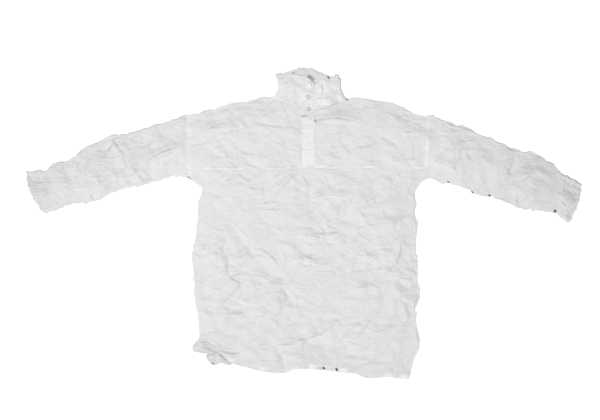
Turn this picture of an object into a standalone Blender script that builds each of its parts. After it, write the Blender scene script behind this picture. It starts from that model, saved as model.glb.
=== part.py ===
"""A crumpled white pull-over shirt with a tall buttoned collar, laid flat on its back on a table.

The wearer's front faces up (+Z), the collar points to +Y and the hem to -Y. Left and right are
the viewer's. Every table is in millimetres, and the meshes are in metres.
"""

import math
from collections import namedtuple

import bmesh
import bpy
import numpy as np
from mathutils import Vector
from mathutils.bvhtree import BVHTree

MM = 0.001

# Driving sizes of the cloth and its seams
WALL = 1.2  # the cloth, as a wall
COLLAR_WALL = 1.5
PLACKET_WALL = 1.4
SEAM_GAP = 0.3  # between pieces at a seam
COLLAR_GAP = 0.5  # between the collar and the curved edges that it stands along
EDGE_TOP = 2 * WALL + SEAM_GAP  # top of the two layers where they lie flat on each other

# How far the crumpled front stands up off the back
LOFT = 13.0
LOFT_AT_HEM = 9.0
LOWEST_INSIDE = 8.0  # no trough goes under this, away from the sewn edges
EDGE_RUN = 27.0  # distance over which the front rises from a sewn edge
FOLD_RUN = 16.0  # distance over which the folds grow from a sewn edge
HEM_RUN = 45.0

# Grid steps: about one grid line each this many millimetres
BODY_STEP = 17.0
SLEEVE_STEP = 17.5
BACK_STEP = 26.0
EDGE_CELL = 7.0  # the first grid line in from a sewn edge
COLLAR_ROWS = 7
UNDER_SLEEVE_COLUMNS = 4

# The slit between the two chest panels, and the placket that covers it
SLIT_X = 12.4
PLACKET_LEFT = -5.0
PLACKET_RIGHT = 29.5

FOLD_BULGE = 1.0  # how far a sleeve's folded edge rounds outwards

# Buttons: 11.4 mm shirt buttons with a rim and four holes
BUTTON_RADIUS = 5.7
BUTTON_SIDES = 24
BUTTON_HOLE_RADIUS = 0.8
BUTTON_HOLE_SPREAD = 1.45
BUTTON_HOLE_SIDES = 8
RingPoint = namedtuple("RingPoint", "radius height")
BUTTON_PROFILE = [
    RingPoint(0.0, 1.7),
    RingPoint(3.3, 1.7),
    RingPoint(4.0, 2.4),
    RingPoint(4.9, 2.5),
    RingPoint(5.6, 1.9),
    RingPoint(5.7, 1.1),
    RingPoint(4.6, 0.0),
    RingPoint(0.0, 0.0),
]
Button = namedtuple("Button", "name x y")
BUTTONS = [
    Button("button_top", 15.4, 387.5),
    Button("button_middle", 12.4, 355.5),
    Button("button_neck", 13.0, 321.5),
]

# The outline of the body, seen from above
Side = namedtuple("Side", "y x")
LEFT_SIDE = [
    Side(-346, -280),
    Side(-332, -286),
    Side(-318, -291),
    Side(-296, -294),
    Side(-262, -298),
    Side(-226, -305),
    Side(-184, -308),
    Side(-128, -311),
    Side(-88, -314),
    Side(-44, -306),
    Side(-10, -300.5),
    Side(29, -300),
    Side(71, -295),
    Side(93.5, -287),
    Side(107.5, -291),
    Side(119, -311),
    Side(130, -323),
]
RIGHT_SIDE = [
    Side(-435, 294),
    Side(-405, 300.5),
    Side(-380, 308),
    Side(-352, 322),
    Side(-329, 325.5),
    Side(-276, 313.5),
    Side(-256.5, 316.5),
    Side(-240, 311),
    Side(-220, 318),
    Side(-195, 325.5),
    Side(-158.5, 319),
    Side(-105, 319),
    Side(-77, 313.5),
    Side(-24, 316),
    Side(-4.5, 319),
    Side(35, 309),
    Side(51.5, 314.5),
    Side(71, 312),
    Side(93.5, 311),
    Side(107.5, 322),
    Side(119, 332),
    Side(128.5, 347),
]
# The back's lower left corner twists out from under the front in two lobes
BACK_LEFT_CORNER = [
    Side(-396, -256),
    Side(-384, -268),
    Side(-372, -276),
    Side(-362, -281),
    Side(-359, -300),
    Side(-350, -313),
    Side(-337, -309),
    Side(-325, -299),
    Side(-312, -293),
]
Edge = namedtuple("Edge", "x y")
HEM = [
    Edge(-280, -346),
    Edge(-256, -360),
    Edge(-236, -365),
    Edge(-219, -380),
    Edge(-200, -390),
    Edge(-179, -396.5),
    Edge(-146, -405),
    Edge(-112, -413),
    Edge(-78, -416),
    Edge(-48, -416),
    Edge(-29, -407),
    Edge(6, -405),
    Edge(39, -407.5),
    Edge(73, -410.5),
    Edge(106, -416),
    Edge(140, -417.5),
    Edge(171, -430),
    Edge(207, -430),
    Edge(230, -427),
    Edge(263, -431.5),
    Edge(294, -435),
]
BACK_HEM = [
    Edge(-256, -396),
    Edge(-246, -394.5),
    Edge(-238, -390.5),
    Edge(-224, -391),
    Edge(-211, -395.5),
    Edge(-199, -392),
    Edge(-179, -394),
    Edge(-146, -402),
    Edge(-112, -409),
    Edge(-48, -412),
    Edge(-29, -403),
    Edge(39, -403.5),
    Edge(106, -412),
    Edge(171, -425),
    Edge(230, -423),
    Edge(294, -431),
]
CHEST_SEAM = [
    Edge(-319, 159.3),
    Edge(-207, 157),
    Edge(-104, 156.5),
    Edge(-11, 162.7),
    Edge(115, 164),
    Edge(269, 160.7),
    Edge(354, 159.3),
]
LEFT_SHOULDER = [
    Edge(-326, 307),
    Edge(-297, 312),
    Edge(-272, 322),
    Edge(-246, 324),
    Edge(-227, 333),
    Edge(-196, 340),
    Edge(-162, 343.5),
    Edge(-134, 350),
    Edge(-109, 357),
    Edge(-84, 356),
]
NECKLINE = [
    Edge(-59, 345.5),
    Edge(-34, 336),
    Edge(-6, 327.5),
    Edge(14, 324.5),
    Edge(34, 326),
    Edge(62, 331.5),
    Edge(90, 343),
]
RIGHT_SHOULDER = [
    Edge(118, 352),
    Edge(140, 354),
    Edge(179, 351),
    Edge(213, 345.5),
    Edge(241, 341),
    Edge(266, 333),
    Edge(291, 320),
    Edge(311, 309),
    Edge(333, 306),
    Edge(353, 303.5),
]
BACK_NECK = [
    Edge(-59, 349),
    Edge(18, 345),
    Edge(90, 348),
]

# The sleeves, from the armhole to the cuff, each section across the sleeve
Section = namedtuple("Section", "upper_x upper_y lower_x lower_y")
LEFT_SLEEVE = [
    Section(-326, 307, -323, 130),
    Section(-344, 301, -344, 133),
    Section(-367, 292, -367, 135.5),
    Section(-395, 284, -393, 125),
    Section(-426, 275.5, -421, 120),
    Section(-449, 273, -442, 114),
    Section(-468, 261.5, -456, 109),
    Section(-493, 255, -479, 104.5),
    Section(-524, 253, -504, 99),
    Section(-549, 247.5, -526, 93.5),
    Section(-574, 235, -549, 82),
    Section(-599, 222, -570, 72.5),
    Section(-622, 208, -588, 67),
    Section(-641, 194, -608, 62),
    Section(-664, 177.5, -630, 60),
    Section(-689, 170.5, -652, 57),
    Section(-714, 161, -676, 49),
    Section(-725, 149, -687, 44.5),
]
RIGHT_SLEEVE = [
    Section(353, 303.5, 347, 128.5),
    Section(375, 298, 375, 121.5),
    Section(398, 287.5, 395, 116),
    Section(423, 279.5, 417, 113),
    Section(448, 272.5, 440, 107.5),
    Section(470, 264.5, 459, 102),
    Section(493, 253, 475, 86.5),
    Section(510, 242, 496, 82.5),
    Section(529, 239, 515, 77),
    Section(554, 225, 535, 74),
    Section(577, 214, 557, 69),
    Section(596, 207.5, 574, 58.5),
    Section(622, 204, 596, 51.5),
    Section(644, 197, 622, 44.5),
    Section(664, 188, 641, 39),
    Section(683, 177.5, 664, 39.5),
    Section(700, 169, 683, 36),
    Section(713, 154, 700, 33.5),
    Section(731, 137, 713, 30.5),
]
LEFT_CUFF = [
    Section(-750, 148.5, -707, 39),
    Section(-780, 147.5, -729, 30.5),
]
RIGHT_CUFF = [
    Section(757, 127, 731, 13.5),
    Section(780, 112, 747.5, 7.5),
]
LEFT_CUFF_BOW = 11.0  # how far the open end of the cuff bulges outwards
RIGHT_CUFF_BOW = 4.0

# The collar's outer face, station by station, from the end over the slit, round the
# wearer's neck to the end under it. A waist draws the middle of a station inwards.
Station = namedtuple("Station", "foot_x rim_x waist foot_z rim_z rim_y")
COLLAR_FRONT_LEFT = [
    Station(29, 29, 0, 14.9, 16.2, 394.5),
    Station(21, 20, 0, 14.9, 16.2, 403),
    Station(8, 7, 0, 14.9, 16.2, 412.5),
    Station(-6, -7, 0, 14.6, 16.0, 416),
    Station(-22, -22, 0, 14.2, 15.6, 417),
    Station(-40, -39, 1, 13.5, 15.0, 415.5),
    Station(-57, -55, 3, 12.5, 14.0, 413),
    Station(-72, -68, 6, 11.0, 12.5, 415),
]
COLLAR_BACK = [
    Station(-83, -78, 10, 7.6, 8.8, 421),
    Station(-87, -81.5, 11, 4.4, 5.0, 424),
    Station(-83, -78, 10, 1.2, 1.4, 424),
    Station(-70, -68, 6, 0.0, 0.0, 424),
    Station(-40, -40, 0, 0.0, 0.0, 427.5),
    Station(-20, -20, 0, 0.0, 0.0, 433),
    Station(0, 0, 0, 0.0, 0.0, 435.0),
    Station(22, 22, 0, 0.0, 0.0, 431.5),
    Station(42, 42, 0, 0.0, 0.0, 423),
    Station(62, 62, 0, 0.0, 0.0, 415),
    Station(84, 80, 0, 0.0, 0.0, 410),
    Station(104, 93, -2, 0.0, 0.0, 408),
    Station(116, 100, -6, 1.2, 1.4, 407),
    Station(121, 103, -7, 4.4, 5.0, 407),
    Station(116, 100, -6, 7.6, 8.8, 409),
]
COLLAR_FRONT_RIGHT = [
    Station(99, 91, -2, 10.4, 12.0, 417),
    Station(80, 77, 0, 11.6, 13.0, 411),
    Station(62, 61, 0, 12.3, 13.5, 407),
    Station(46, 46, 0, 12.6, 13.8, 397),
    Station(30, 30, 0, 12.6, 13.8, 393),
    Station(12, 12, 0, 12.6, 13.8, 392),
    Station(-3, -3, 0, 12.6, 13.8, 390),
]

# The largest folds. A fold's crest runs from one end to the other, bowed to its left. The
# cloth rises to the crest (or falls, where rise is negative) over left and right.
Fold = namedtuple("Fold", "x0 y0 x1 y1 bow rise left right")
FOLDS = [
    # chest
    Fold(22, 289, 176, 273, 14, 7.0, 34, 9),
    Fold(-118, 272, -40, 258, 6, 3.0, 24, 12),
    Fold(-312, 243, -160, 272, 12, 5.0, 30, 12),
    Fold(-160, 272, -40, 250, 8, 2.5, 18, 18),
    Fold(-265, 226, -200, 170, 4, 3.0, 22, 16),
    Fold(-190, 244, -120, 182, -6, -3.0, 24, 20),
    Fold(-90, 210, -20, 232, 4, 2.5, 18, 22),
    Fold(95, 235, 140, 196, 6, -3.0, 22, 20),
    Fold(128, 206, 212, 228, -4, 3.0, 14, 24),
    Fold(210, 250, 268, 212, 6, -3.0, 22, 18),
    Fold(232, 190, 300, 168, -5, 4.5, 18, 14),
    Fold(264, 262, 348, 268, -8, 4.0, 24, 14),
    Fold(250, 305, 345, 288, 8, -3.5, 18, 22),
    Fold(60, 190, 110, 172, 4, 2.5, 14, 14),
    Fold(-250, 300, -140, 318, 6, 2.5, 20, 26),
    # front of the body
    Fold(-102, 120, -10, 160, 6, 3.5, 24, 18),
    Fold(-92, 70, -4, 150, 12, 4.5, 26, 14),
    Fold(-292, 92, -234, 76, 4, -4.0, 18, 16),
    Fold(-180, 57, -52, 68, -5, 3.5, 20, 10),
    Fold(14, 72, 134, 74, 10, 5.5, 28, 8),
    Fold(104, 98, 172, 114, 5, 3.0, 20, 12),
    Fold(-292, -16, -178, -26, 6, 3.0, 20, 12),
    Fold(-208, 18, -146, -72, -8, -3.5, 22, 24),
    Fold(-150, -74, -202, -98, 3, 4.0, 18, 18),
    Fold(-150, -66, -70, -108, 6, 4.0, 20, 12),
    Fold(-102, 6, 18, -26, -14, 4.5, 26, 12),
    Fold(-40, -6, 52, -18, 6, -3.5, 18, 24),
    Fold(-94, -46, 0, -86, 5, 3.5, 16, 20),
    Fold(-50, -84, 74, -110, -6, 4.5, 20, 10),
    Fold(-4, -134, 134, -76, -8, 4.0, 22, 14),
    Fold(62, -152, 158, -92, 6, 3.5, 18, 18),
    Fold(130, -82, 270, -66, -14, 4.0, 20, 14),
    Fold(116, 26, 242, 54, 6, 3.5, 18, 18),
    Fold(132, -12, 308, 34, -12, 4.5, 24, 12),
    Fold(208, -158, 270, -44, -10, 5.0, 18, 26),
    Fold(252, -138, 314, -152, -10, 3.5, 18, 12),
    Fold(-116, -176, -20, -178, 10, 4.5, 24, 9),
    Fold(-162, -136, -92, -160, 6, 3.0, 20, 14),
    Fold(-248, -240, -178, -170, 5, 4.5, 22, 16),
    Fold(-182, -204, -116, -218, -8, 3.5, 20, 14),
    Fold(-58, -182, -32, -232, 5, -4.0, 20, 22),
    Fold(-102, -210, -18, -254, 6, 4.0, 18, 14),
    Fold(66, -192, 254, -188, 16, 4.5, 24, 12),
    Fold(72, -214, 256, -218, 4, 2.5, 14, 18),
    Fold(10, -256, 108, -260, 12, 3.5, 20, 12),
    Fold(-292, -232, -240, -264, -4, 4.0, 16, 16),
    Fold(-250, -292, -196, -282, -6, -3.5, 16, 18),
    Fold(-204, -294, -136, -280, -6, 3.0, 18, 14),
    Fold(-90, -342, 62, -290, -12, 6.0, 28, 14),
    Fold(62, -292, 102, -272, 6, 4.0, 20, 14),
    Fold(92, -330, 190, -262, -10, 5.0, 26, 16),
    Fold(188, -304, 258, -278, -6, 3.5, 18, 14),
    Fold(256, -316, 186, -388, 10, -3.5, 20, 22),
    Fold(256, -314, 264, -368, 4, 3.5, 18, 14),
    Fold(104, -370, 200, -364, 6, -4.5, 26, 22),
    Fold(-262, -342, -176, -366, -8, 5.5, 16, 12),
    Fold(-284, -318, -256, -300, 4, -3.5, 12, 14),
    Fold(282, -212, 296, -276, -6, 4.5, 16, 16),
    Fold(-250, -60, -262, -150, 8, 3.0, 26, 22),
    Fold(-30, -300, 40, -352, 6, -3.0, 24, 24),
    Fold(-200, -330, -100, -398, 6, 3.0, 24, 20),
    # left sleeve
    Fold(-462, 152, -316, 222, 12, 7.0, 26, 12),
    Fold(-546, 138, -462, 156, -10, 5.0, 24, 12),
    Fold(-664, 100, -548, 120, -4, 4.5, 24, 12),
    Fold(-752, 116, -694, 118, -4, 3.5, 20, 14),
    Fold(-480, 254, -440, 210, 5, -3.5, 20, 20),
    Fold(-600, 210, -560, 140, 6, 3.0, 28, 26),
    Fold(-404, 152, -350, 170, 4, 3.0, 16, 14),
    Fold(-655, 160, -640, 80, 4, -3.0, 22, 22),
    Fold(-706, 90, -690, 60, 3, 3.0, 14, 14),
    Fold(-372, 276, -352, 236, -3, 2.5, 14, 16),
    # right sleeve
    Fold(352, 186, 434, 158, -5, 6.5, 24, 10),
    Fold(402, 192, 494, 240, 8, 3.5, 20, 24),
    Fold(486, 192, 536, 168, -4, 4.0, 24, 12),
    Fold(508, 104, 606, 98, 4, 3.5, 18, 12),
    Fold(590, 128, 690, 136, 10, 5.0, 24, 14),
    Fold(606, 62, 664, 104, 5, 3.5, 18, 18),
    Fold(572, 136, 592, 170, -3, -3.5, 18, 18),
    Fold(552, 186, 624, 200, 10, 3.0, 22, 18),
    Fold(486, 96, 506, 128, -3, 3.0, 14, 14),
    Fold(700, 84, 742, 56, 5, 3.5, 16, 16),
    Fold(440, 250, 470, 170, 6, -3.0, 24, 22),
    Fold(640, 190, 700, 120, -8, 3.0, 26, 20),
]

# Facets between the folds: random heights on a turned grid, joined by flat triangles
Facets = namedtuple("Facets", "cell_x cell_y rise turn seed")
CRUMPLE = [
    Facets(88, 56, 1.9, 0.22, 11),
    Facets(46, 34, 1.3, -0.5, 23),
]
LATTICE = 64  # heights in each direction before a facet pattern repeats

WHITE_COTTON = ("white_cotton", (0.80, 0.80, 0.81, 1.0), 0.85)
WHITE_COTTON_DOUBLE = ("white_cotton_double", (0.84, 0.84, 0.84, 1.0), 0.85)
PEARL = ("pearl", (0.88, 0.86, 0.80, 1.0), 0.3)


def through(rows, at):
    """A smooth curve through a table of (place, value) rows, read at one place or many."""
    place = np.array([row[0] for row in rows], float)
    value = np.array([row[1] for row in rows], float)
    slope = np.gradient(value, place)
    at = np.clip(np.asarray(at, float), place[0], place[-1])
    k = np.clip(np.searchsorted(place, at) - 1, 0, len(place) - 2)
    width = place[k + 1] - place[k]
    t = (at - place[k]) / width
    start = (1 + 2 * t) * (1 - t) ** 2 * value[k] + t * (1 - t) ** 2 * width * slope[k]
    end = t * t * (3 - 2 * t) * value[k + 1] + t * t * (t - 1) * width * slope[k + 1]
    return start + end


def smooth(t):
    """0 to 1 as t goes from 0 to 1, level at both ends."""
    t = np.clip(t, 0.0, 1.0)
    return t * t * (3 - 2 * t)


def mix(a, b, t):
    """a at t 0, b at t 1."""
    return a + (b - a) * t


def shares(length, step, near_start=(), near_end=()):
    """Places from 0 to 1, about a step apart, with more at set distances from the ends."""
    places = list(np.linspace(0, 1, round(length / step) + 1))
    places += [distance / length for distance in near_start]
    places += [1 - distance / length for distance in near_end]
    return np.array(sorted(places))


def armhole_x(section, y):
    """Where a straight armhole seam lies at a place y along it."""
    share = (section.upper_y - np.asarray(y, float)) / (section.upper_y - section.lower_y)
    return mix(section.upper_x, section.lower_x, share)


def left_edge(y):
    """A body panel's left edge: the armhole seam above the underarm, the side seam below."""
    at_armhole = armhole_x(LEFT_SLEEVE[0], y) + SEAM_GAP / 2
    return np.where(y > LEFT_SIDE[-1].y, at_armhole, through(LEFT_SIDE, y))


def right_edge(y):
    """A body panel's right edge, in the same way."""
    at_armhole = armhole_x(RIGHT_SLEEVE[0], y) - SEAM_GAP / 2
    return np.where(y > RIGHT_SIDE[-1].y, at_armhole, through(RIGHT_SIDE, y))


def back_left_edge(y):
    """The back's left edge, which leaves the front's at the twisted corner."""
    corner = BACK_LEFT_CORNER
    return np.where(y < corner[-1].y, through(corner, y), left_edge(y))


def front_top(x):
    """The upper edge of the chest panels: shoulder, neckline, shoulder."""
    return through(LEFT_SHOULDER + NECKLINE + RIGHT_SHOULDER, x)


def back_top(x):
    """The upper edge of the back: shoulder, back neck, shoulder."""
    return through(LEFT_SHOULDER + BACK_NECK + RIGHT_SHOULDER, x)


def sewn_edges():
    """The segments where the front lies down on the back, as (starts, ends).

    The left side's last rows aren't among them, because the twisted corner holds them up."""
    lines = [
        [(row.x, row.y) for row in LEFT_SIDE[2:]]
        + [(s.lower_x, s.lower_y) for s in LEFT_SLEEVE + LEFT_CUFF],
        [(s.upper_x, s.upper_y) for s in reversed(LEFT_SLEEVE + LEFT_CUFF)]
        + [(row.x, row.y) for row in LEFT_SHOULDER],
        [(row.x, row.y) for row in RIGHT_SIDE]
        + [(s.lower_x, s.lower_y) for s in RIGHT_SLEEVE + RIGHT_CUFF],
        [(row.x, row.y) for row in RIGHT_SHOULDER]
        + [(s.upper_x, s.upper_y) for s in RIGHT_SLEEVE + RIGHT_CUFF],
    ]
    starts = [p for line in lines for p in line[:-1]]
    ends = [p for line in lines for p in line[1:]]
    return np.array(starts, float), np.array(ends, float)


SEWN_STARTS, SEWN_ENDS = sewn_edges()


def edge_distance(x, y):
    """How far each point lies from the nearest sewn edge."""
    points = np.stack([np.ravel(x), np.ravel(y)], axis=1)
    nearest = np.full(len(points), np.inf)
    for start, end in zip(SEWN_STARTS, SEWN_ENDS):
        along = end - start
        t = np.clip((points - start) @ along / max(along @ along, 1e-9), 0, 1)
        gap = points - start - t[:, None] * along
        nearest = np.minimum(nearest, np.hypot(gap[:, 0], gap[:, 1]))
    return nearest.reshape(np.shape(x))


def fold_heights(x, y):
    """The folds of the table, added up."""
    total = np.zeros(np.shape(x))
    for fold in FOLDS:
        length = math.hypot(fold.x1 - fold.x0, fold.y1 - fold.y0)
        ux, uy = (fold.x1 - fold.x0) / length, (fold.y1 - fold.y0) / length
        t = ((x - fold.x0) * ux + (y - fold.y0) * uy) / length
        side = (y - fold.y0) * ux - (x - fold.x0) * uy - fold.bow * 4 * t * (1 - t)
        reach = np.where(side > 0, fold.left, fold.right)
        across = np.clip(1 - np.abs(side) / reach, 0, 1)
        along = smooth(3.2 * np.minimum(t, 1 - t))
        total = total + fold.rise * across * along
    return total


def facet_heights(x, y):
    """Flat triangular facets of random height, at each size in the table."""
    total = np.zeros(np.shape(x))
    for facets in CRUMPLE:
        heights = np.random.RandomState(facets.seed).uniform(-1, 1, (LATTICE, LATTICE))
        c, s = math.cos(facets.turn), math.sin(facets.turn)
        u = (x * c + y * s) / facets.cell_x
        v = (y * c - x * s) / facets.cell_y
        u, v = u + 0.3 * np.sin(1.9 * v + facets.seed), v + 0.3 * np.sin(1.7 * u)
        i, j = np.floor(u).astype(int), np.floor(v).astype(int)
        fu, fv = u - i, v - j
        corner = heights[i % LATTICE, j % LATTICE]
        far_u = heights[(i + 1) % LATTICE, j % LATTICE]
        far_v = heights[i % LATTICE, (j + 1) % LATTICE]
        far = heights[(i + 1) % LATTICE, (j + 1) % LATTICE]
        below = corner + (far_u - corner) * fu + (far - far_u) * fv
        above = corner + (far_v - corner) * fv + (far - far_v) * fu
        total = total + facets.rise * np.where(fu > fv, below, above)
    return total


def cloth_top(x, y):
    """Height of the crumpled front's upper face over the table."""
    x, y = np.asarray(x, float), np.asarray(y, float)
    edge = edge_distance(x, y)
    rise = np.sqrt(1 - (1 - np.clip(edge / EDGE_RUN, 0, 1)) ** 2)
    over_hem = y - through(HEM, x)
    in_body = (x > LEFT_SIDE[-1].x) & (x < RIGHT_SIDE[-1].x) & (y < LEFT_SIDE[-1].y)
    loft = mix(LOFT_AT_HEM, LOFT, np.where(in_body, smooth(over_hem / HEM_RUN), 1.0))
    crumple = fold_heights(x, y) + facet_heights(x, y)
    top = EDGE_TOP + (loft - EDGE_TOP) * rise + crumple * smooth(edge / FOLD_RUN)
    return np.maximum(top, EDGE_TOP + (LOWEST_INSIDE - EDGE_TOP) * rise)


def material(kind):
    """A Principled material made once for each kind."""
    name, colour, roughness = kind
    made = bpy.data.materials.get(name)
    if made is None:
        made = bpy.data.materials.new(name)
        made.use_nodes = True
        shader = made.node_tree.nodes["Principled BSDF"]
        shader.inputs["Base Color"].default_value = colour
        shader.inputs["Roughness"].default_value = roughness
        shader.inputs["Metallic"].default_value = 0.0
        made.diffuse_color = colour
    return made


def solid_between(name, outer, inner, collection, kind, ring=False):
    """A closed wall between two grids of points in millimetres, (rows, columns, 3).

    With ring, each row closes on itself. Each four-sided cell of a grid is split along the
    diagonal that its outer corners bend over least."""
    rows, columns = outer.shape[:2]
    mesh = bmesh.new()
    faces_of = [
        [[mesh.verts.new(Vector(p) * MM) for p in row] for row in grid]
        for grid in (outer, inner)
    ]
    outside, inside = faces_of
    spans = columns if ring else columns - 1
    for r in range(rows - 1):
        for c in range(spans):
            d = (c + 1) % columns
            bend_one = np.linalg.norm(outer[r, c] - outer[r + 1, d])
            bend_two = np.linalg.norm(outer[r, d] - outer[r + 1, c])
            for side, turned in ((outside, False), (inside, True)):
                a, b, e, f = side[r][c], side[r][d], side[r + 1][d], side[r + 1][c]
                pair = [(a, b, e), (a, e, f)] if bend_one < bend_two else [(a, b, f), (b, e, f)]
                for corners in pair:
                    mesh.faces.new(corners[::-1] if turned else corners)
    for r, flip in ((0, True), (rows - 1, False)):
        for c in range(spans):
            d = (c + 1) % columns
            corners = (outside[r][c], outside[r][d], inside[r][d], inside[r][c])
            mesh.faces.new(corners[::-1] if flip else corners)
    if not ring:
        for c, flip in ((0, False), (columns - 1, True)):
            for r in range(rows - 1):
                corners = (outside[r][c], outside[r + 1][c], inside[r + 1][c], inside[r][c])
                mesh.faces.new(corners[::-1] if flip else corners)
    bmesh.ops.recalc_face_normals(mesh, faces=mesh.faces)
    data = bpy.data.meshes.new(name)
    mesh.to_mesh(data)
    mesh.free()
    data.materials.append(material(kind))
    data.shade_smooth()
    data.set_sharp_from_angle(angle=math.radians(40))
    made = bpy.data.objects.new(name, data)
    collection.objects.link(made)
    return made


def raised(x, y, z):
    """A grid of points from its coordinates."""
    return np.stack([x, y, np.broadcast_to(z, np.shape(x))], axis=2)


def sheet(name, x, y, top, collection, kind, wall=WALL):
    """A cloth panel over a grid of places, with its wall straight below its upper face."""
    upper, lower = raised(x, y, top), raised(x, y, np.asarray(top) - wall)
    return solid_between(name, upper, lower, collection, kind)


def chest_grid(section, placket_edge, slit_edge):
    """Places over one chest panel: from its armhole to the placket's edge, then to the slit."""
    width, height = abs(placket_edge - section.upper_x), RIGHT_SHOULDER[0].y - CHEST_SEAM[0].y
    s = shares(width, BODY_STEP, near_start=[EDGE_CELL])[None, :]
    t = shares(height, BODY_STEP, near_start=[EDGE_CELL])[:, None]
    outward = math.copysign(1, section.upper_x)

    def at_armhole(y):
        return armhole_x(section, y) - outward * SEAM_GAP / 2

    top_x = np.append(mix(at_armhole(section.upper_y), placket_edge, s), slit_edge)[None, :]
    bottom_x = mix(at_armhole(CHEST_SEAM[0].y), placket_edge, s)
    bottom_x = np.append(bottom_x, slit_edge)[None, :]
    bottom_y = through(CHEST_SEAM, bottom_x) + SEAM_GAP / 2
    return mix(top_x, bottom_x, t), mix(front_top(top_x), bottom_y, t)


def front(collection):
    """The two chest panels, the placket on them and the front of the body below them.

    Returns the corners of the panels' upper edge, for the collar to stand along."""
    left = chest_grid(LEFT_SLEEVE[0], PLACKET_LEFT, SLIT_X - SEAM_GAP / 2)
    right = chest_grid(RIGHT_SLEEVE[0], PLACKET_RIGHT, SLIT_X + SEAM_GAP / 2)
    right = tuple(grid[:, ::-1] for grid in right)
    for name, (x, y) in (("chest_left", left), ("chest_right", right)):
        sheet(name, x, y, cloth_top(x, y), collection, WHITE_COTTON)

    x, y = (np.hstack([a[:, -2:], b[:, :2]]) for a, b in zip(left, right))
    top = cloth_top(x, y) + SEAM_GAP + PLACKET_WALL
    sheet("placket", x, y, top, collection, WHITE_COTTON_DOUBLE, PLACKET_WALL)

    seam_x = np.hstack([left[0][-1:], right[0][-1:, 1:]])
    seam_y = through(CHEST_SEAM, seam_x) - SEAM_GAP / 2
    rows = round((CHEST_SEAM[0].y - HEM[-1].y) / BODY_STEP)
    t = np.linspace(0, 1, rows + 1)[:, None]
    s = (seam_x - seam_x[0, 0]) / (seam_x[0, -1] - seam_x[0, 0])
    y = mix(seam_y, through(HEM, mix(HEM[0].x, HEM[-1].x, s)), t)
    x = mix(left_edge(y[:, :1]), right_edge(y[:, -1:]), s)
    x[0] = seam_x
    sheet("lower_front", x, y, cloth_top(x, y), collection, WHITE_COTTON)
    return np.hstack([left[0][0], right[0][0]]), np.hstack([left[1][0], right[1][0]])


def back(collection):
    """The back in one piece, flat on the table from the shoulders to the hem.

    Returns the corners of its upper edge, for the collar to stand along."""
    width, height = RIGHT_SHOULDER[-1].x - LEFT_SHOULDER[0].x, LEFT_SHOULDER[-1].y - HEM[-1].y
    s = shares(width, BACK_STEP)[None, :]
    t = shares(height, BACK_STEP, near_end=[9.0, 17.0, 36.0, 46.0])[:, None]
    top_x = mix(LEFT_SHOULDER[0].x, RIGHT_SHOULDER[-1].x, s)
    y = mix(back_top(top_x), through(BACK_HEM, mix(BACK_HEM[0].x, BACK_HEM[-1].x, s)), t)
    x = mix(back_left_edge(y[:, :1]), right_edge(y[:, -1:]), s)
    sheet("back", x, y, WALL, collection, WHITE_COTTON)
    return x[0], y[0]


def tube(name, sections, step, bow, collection, kind):
    """A flattened tube of cloth through its sections: crumpled above, flat below.

    bow moves the middle of the last section along the tube."""
    table = np.array(sections, float)
    middle = (table[:, :2] + table[:, 2:]) / 2
    walked = np.append(0, np.cumsum(np.hypot(*np.diff(middle, axis=0).T)))
    count = max(3, round(walked[-1] / step))
    walk = np.linspace(0, walked[-1], count + 1)
    ends = [through(list(zip(walked, table[:, k])), walk) for k in range(4)]
    upper, lower = np.stack(ends[:2], axis=1), np.stack(ends[2:], axis=1)
    across = lower - upper
    width = np.hypot(across[:, 0], across[:, 1])[:, None]
    across = across / width
    along = np.stack([-across[:, 1], across[:, 0]], axis=1)
    along = along * math.copysign(1, middle[-1, 0]) * math.copysign(1, across[0, 1]) * -1
    share_of_bow = (walk / walked[-1])[:, None, None] ** 2
    s_top = shares(width.mean(), step, [EDGE_CELL], [EDGE_CELL])[None, :, None]
    s_under = np.linspace(1, 0, UNDER_SLEEVE_COLUMNS + 1)[None, :, None]

    def ring(inset):
        """One ring of places and heights, the outer face or the inner one."""
        wall = WALL * inset

        def places(s):
            start = (upper + across * wall)[:, None, :]
            end = (lower - across * wall)[:, None, :]
            bulge = 4 * s * (1 - s) * bow * share_of_bow * along[:, None, :]
            return mix(start, end, s) + bulge

        over, under = places(s_top), places(s_under)
        seen = places_of_outer(s_top)
        over_z = cloth_top(seen[..., 0], seen[..., 1]) - wall
        under_z = np.full(under.shape[:2], wall)
        round_out = FOLD_BULGE * mix(1.0, 0.3, inset)
        fold_z = np.full((len(walk), 1), EDGE_TOP / 2)
        low_fold = end_point(over[:, -1:], across, round_out)
        high_fold = end_point(over[:, :1], across, -round_out)
        xy = np.concatenate([over, low_fold, under, high_fold], axis=1)
        z = np.concatenate([over_z, fold_z, under_z, fold_z], axis=1)
        return raised(xy[..., 0], xy[..., 1], z)

    def places_of_outer(s):
        bulge = 4 * s * (1 - s) * bow * share_of_bow * along[:, None, :]
        return mix(upper[:, None, :], lower[:, None, :], s) + bulge

    def end_point(edge, outward, distance):
        return edge + outward[:, None, :] * distance

    return solid_between(name, ring(0), ring(1), collection, kind, ring=True)


def shifted(section, after, distance):
    """A section moved by a distance towards the one after it."""
    start, end = np.array(section, float), np.array(after, float)
    way = (end[:2] + end[2:] - start[:2] - start[2:]) / 2
    step = way / np.hypot(*way) * distance
    return Section(*(start + np.tile(step, 2)))


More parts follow.
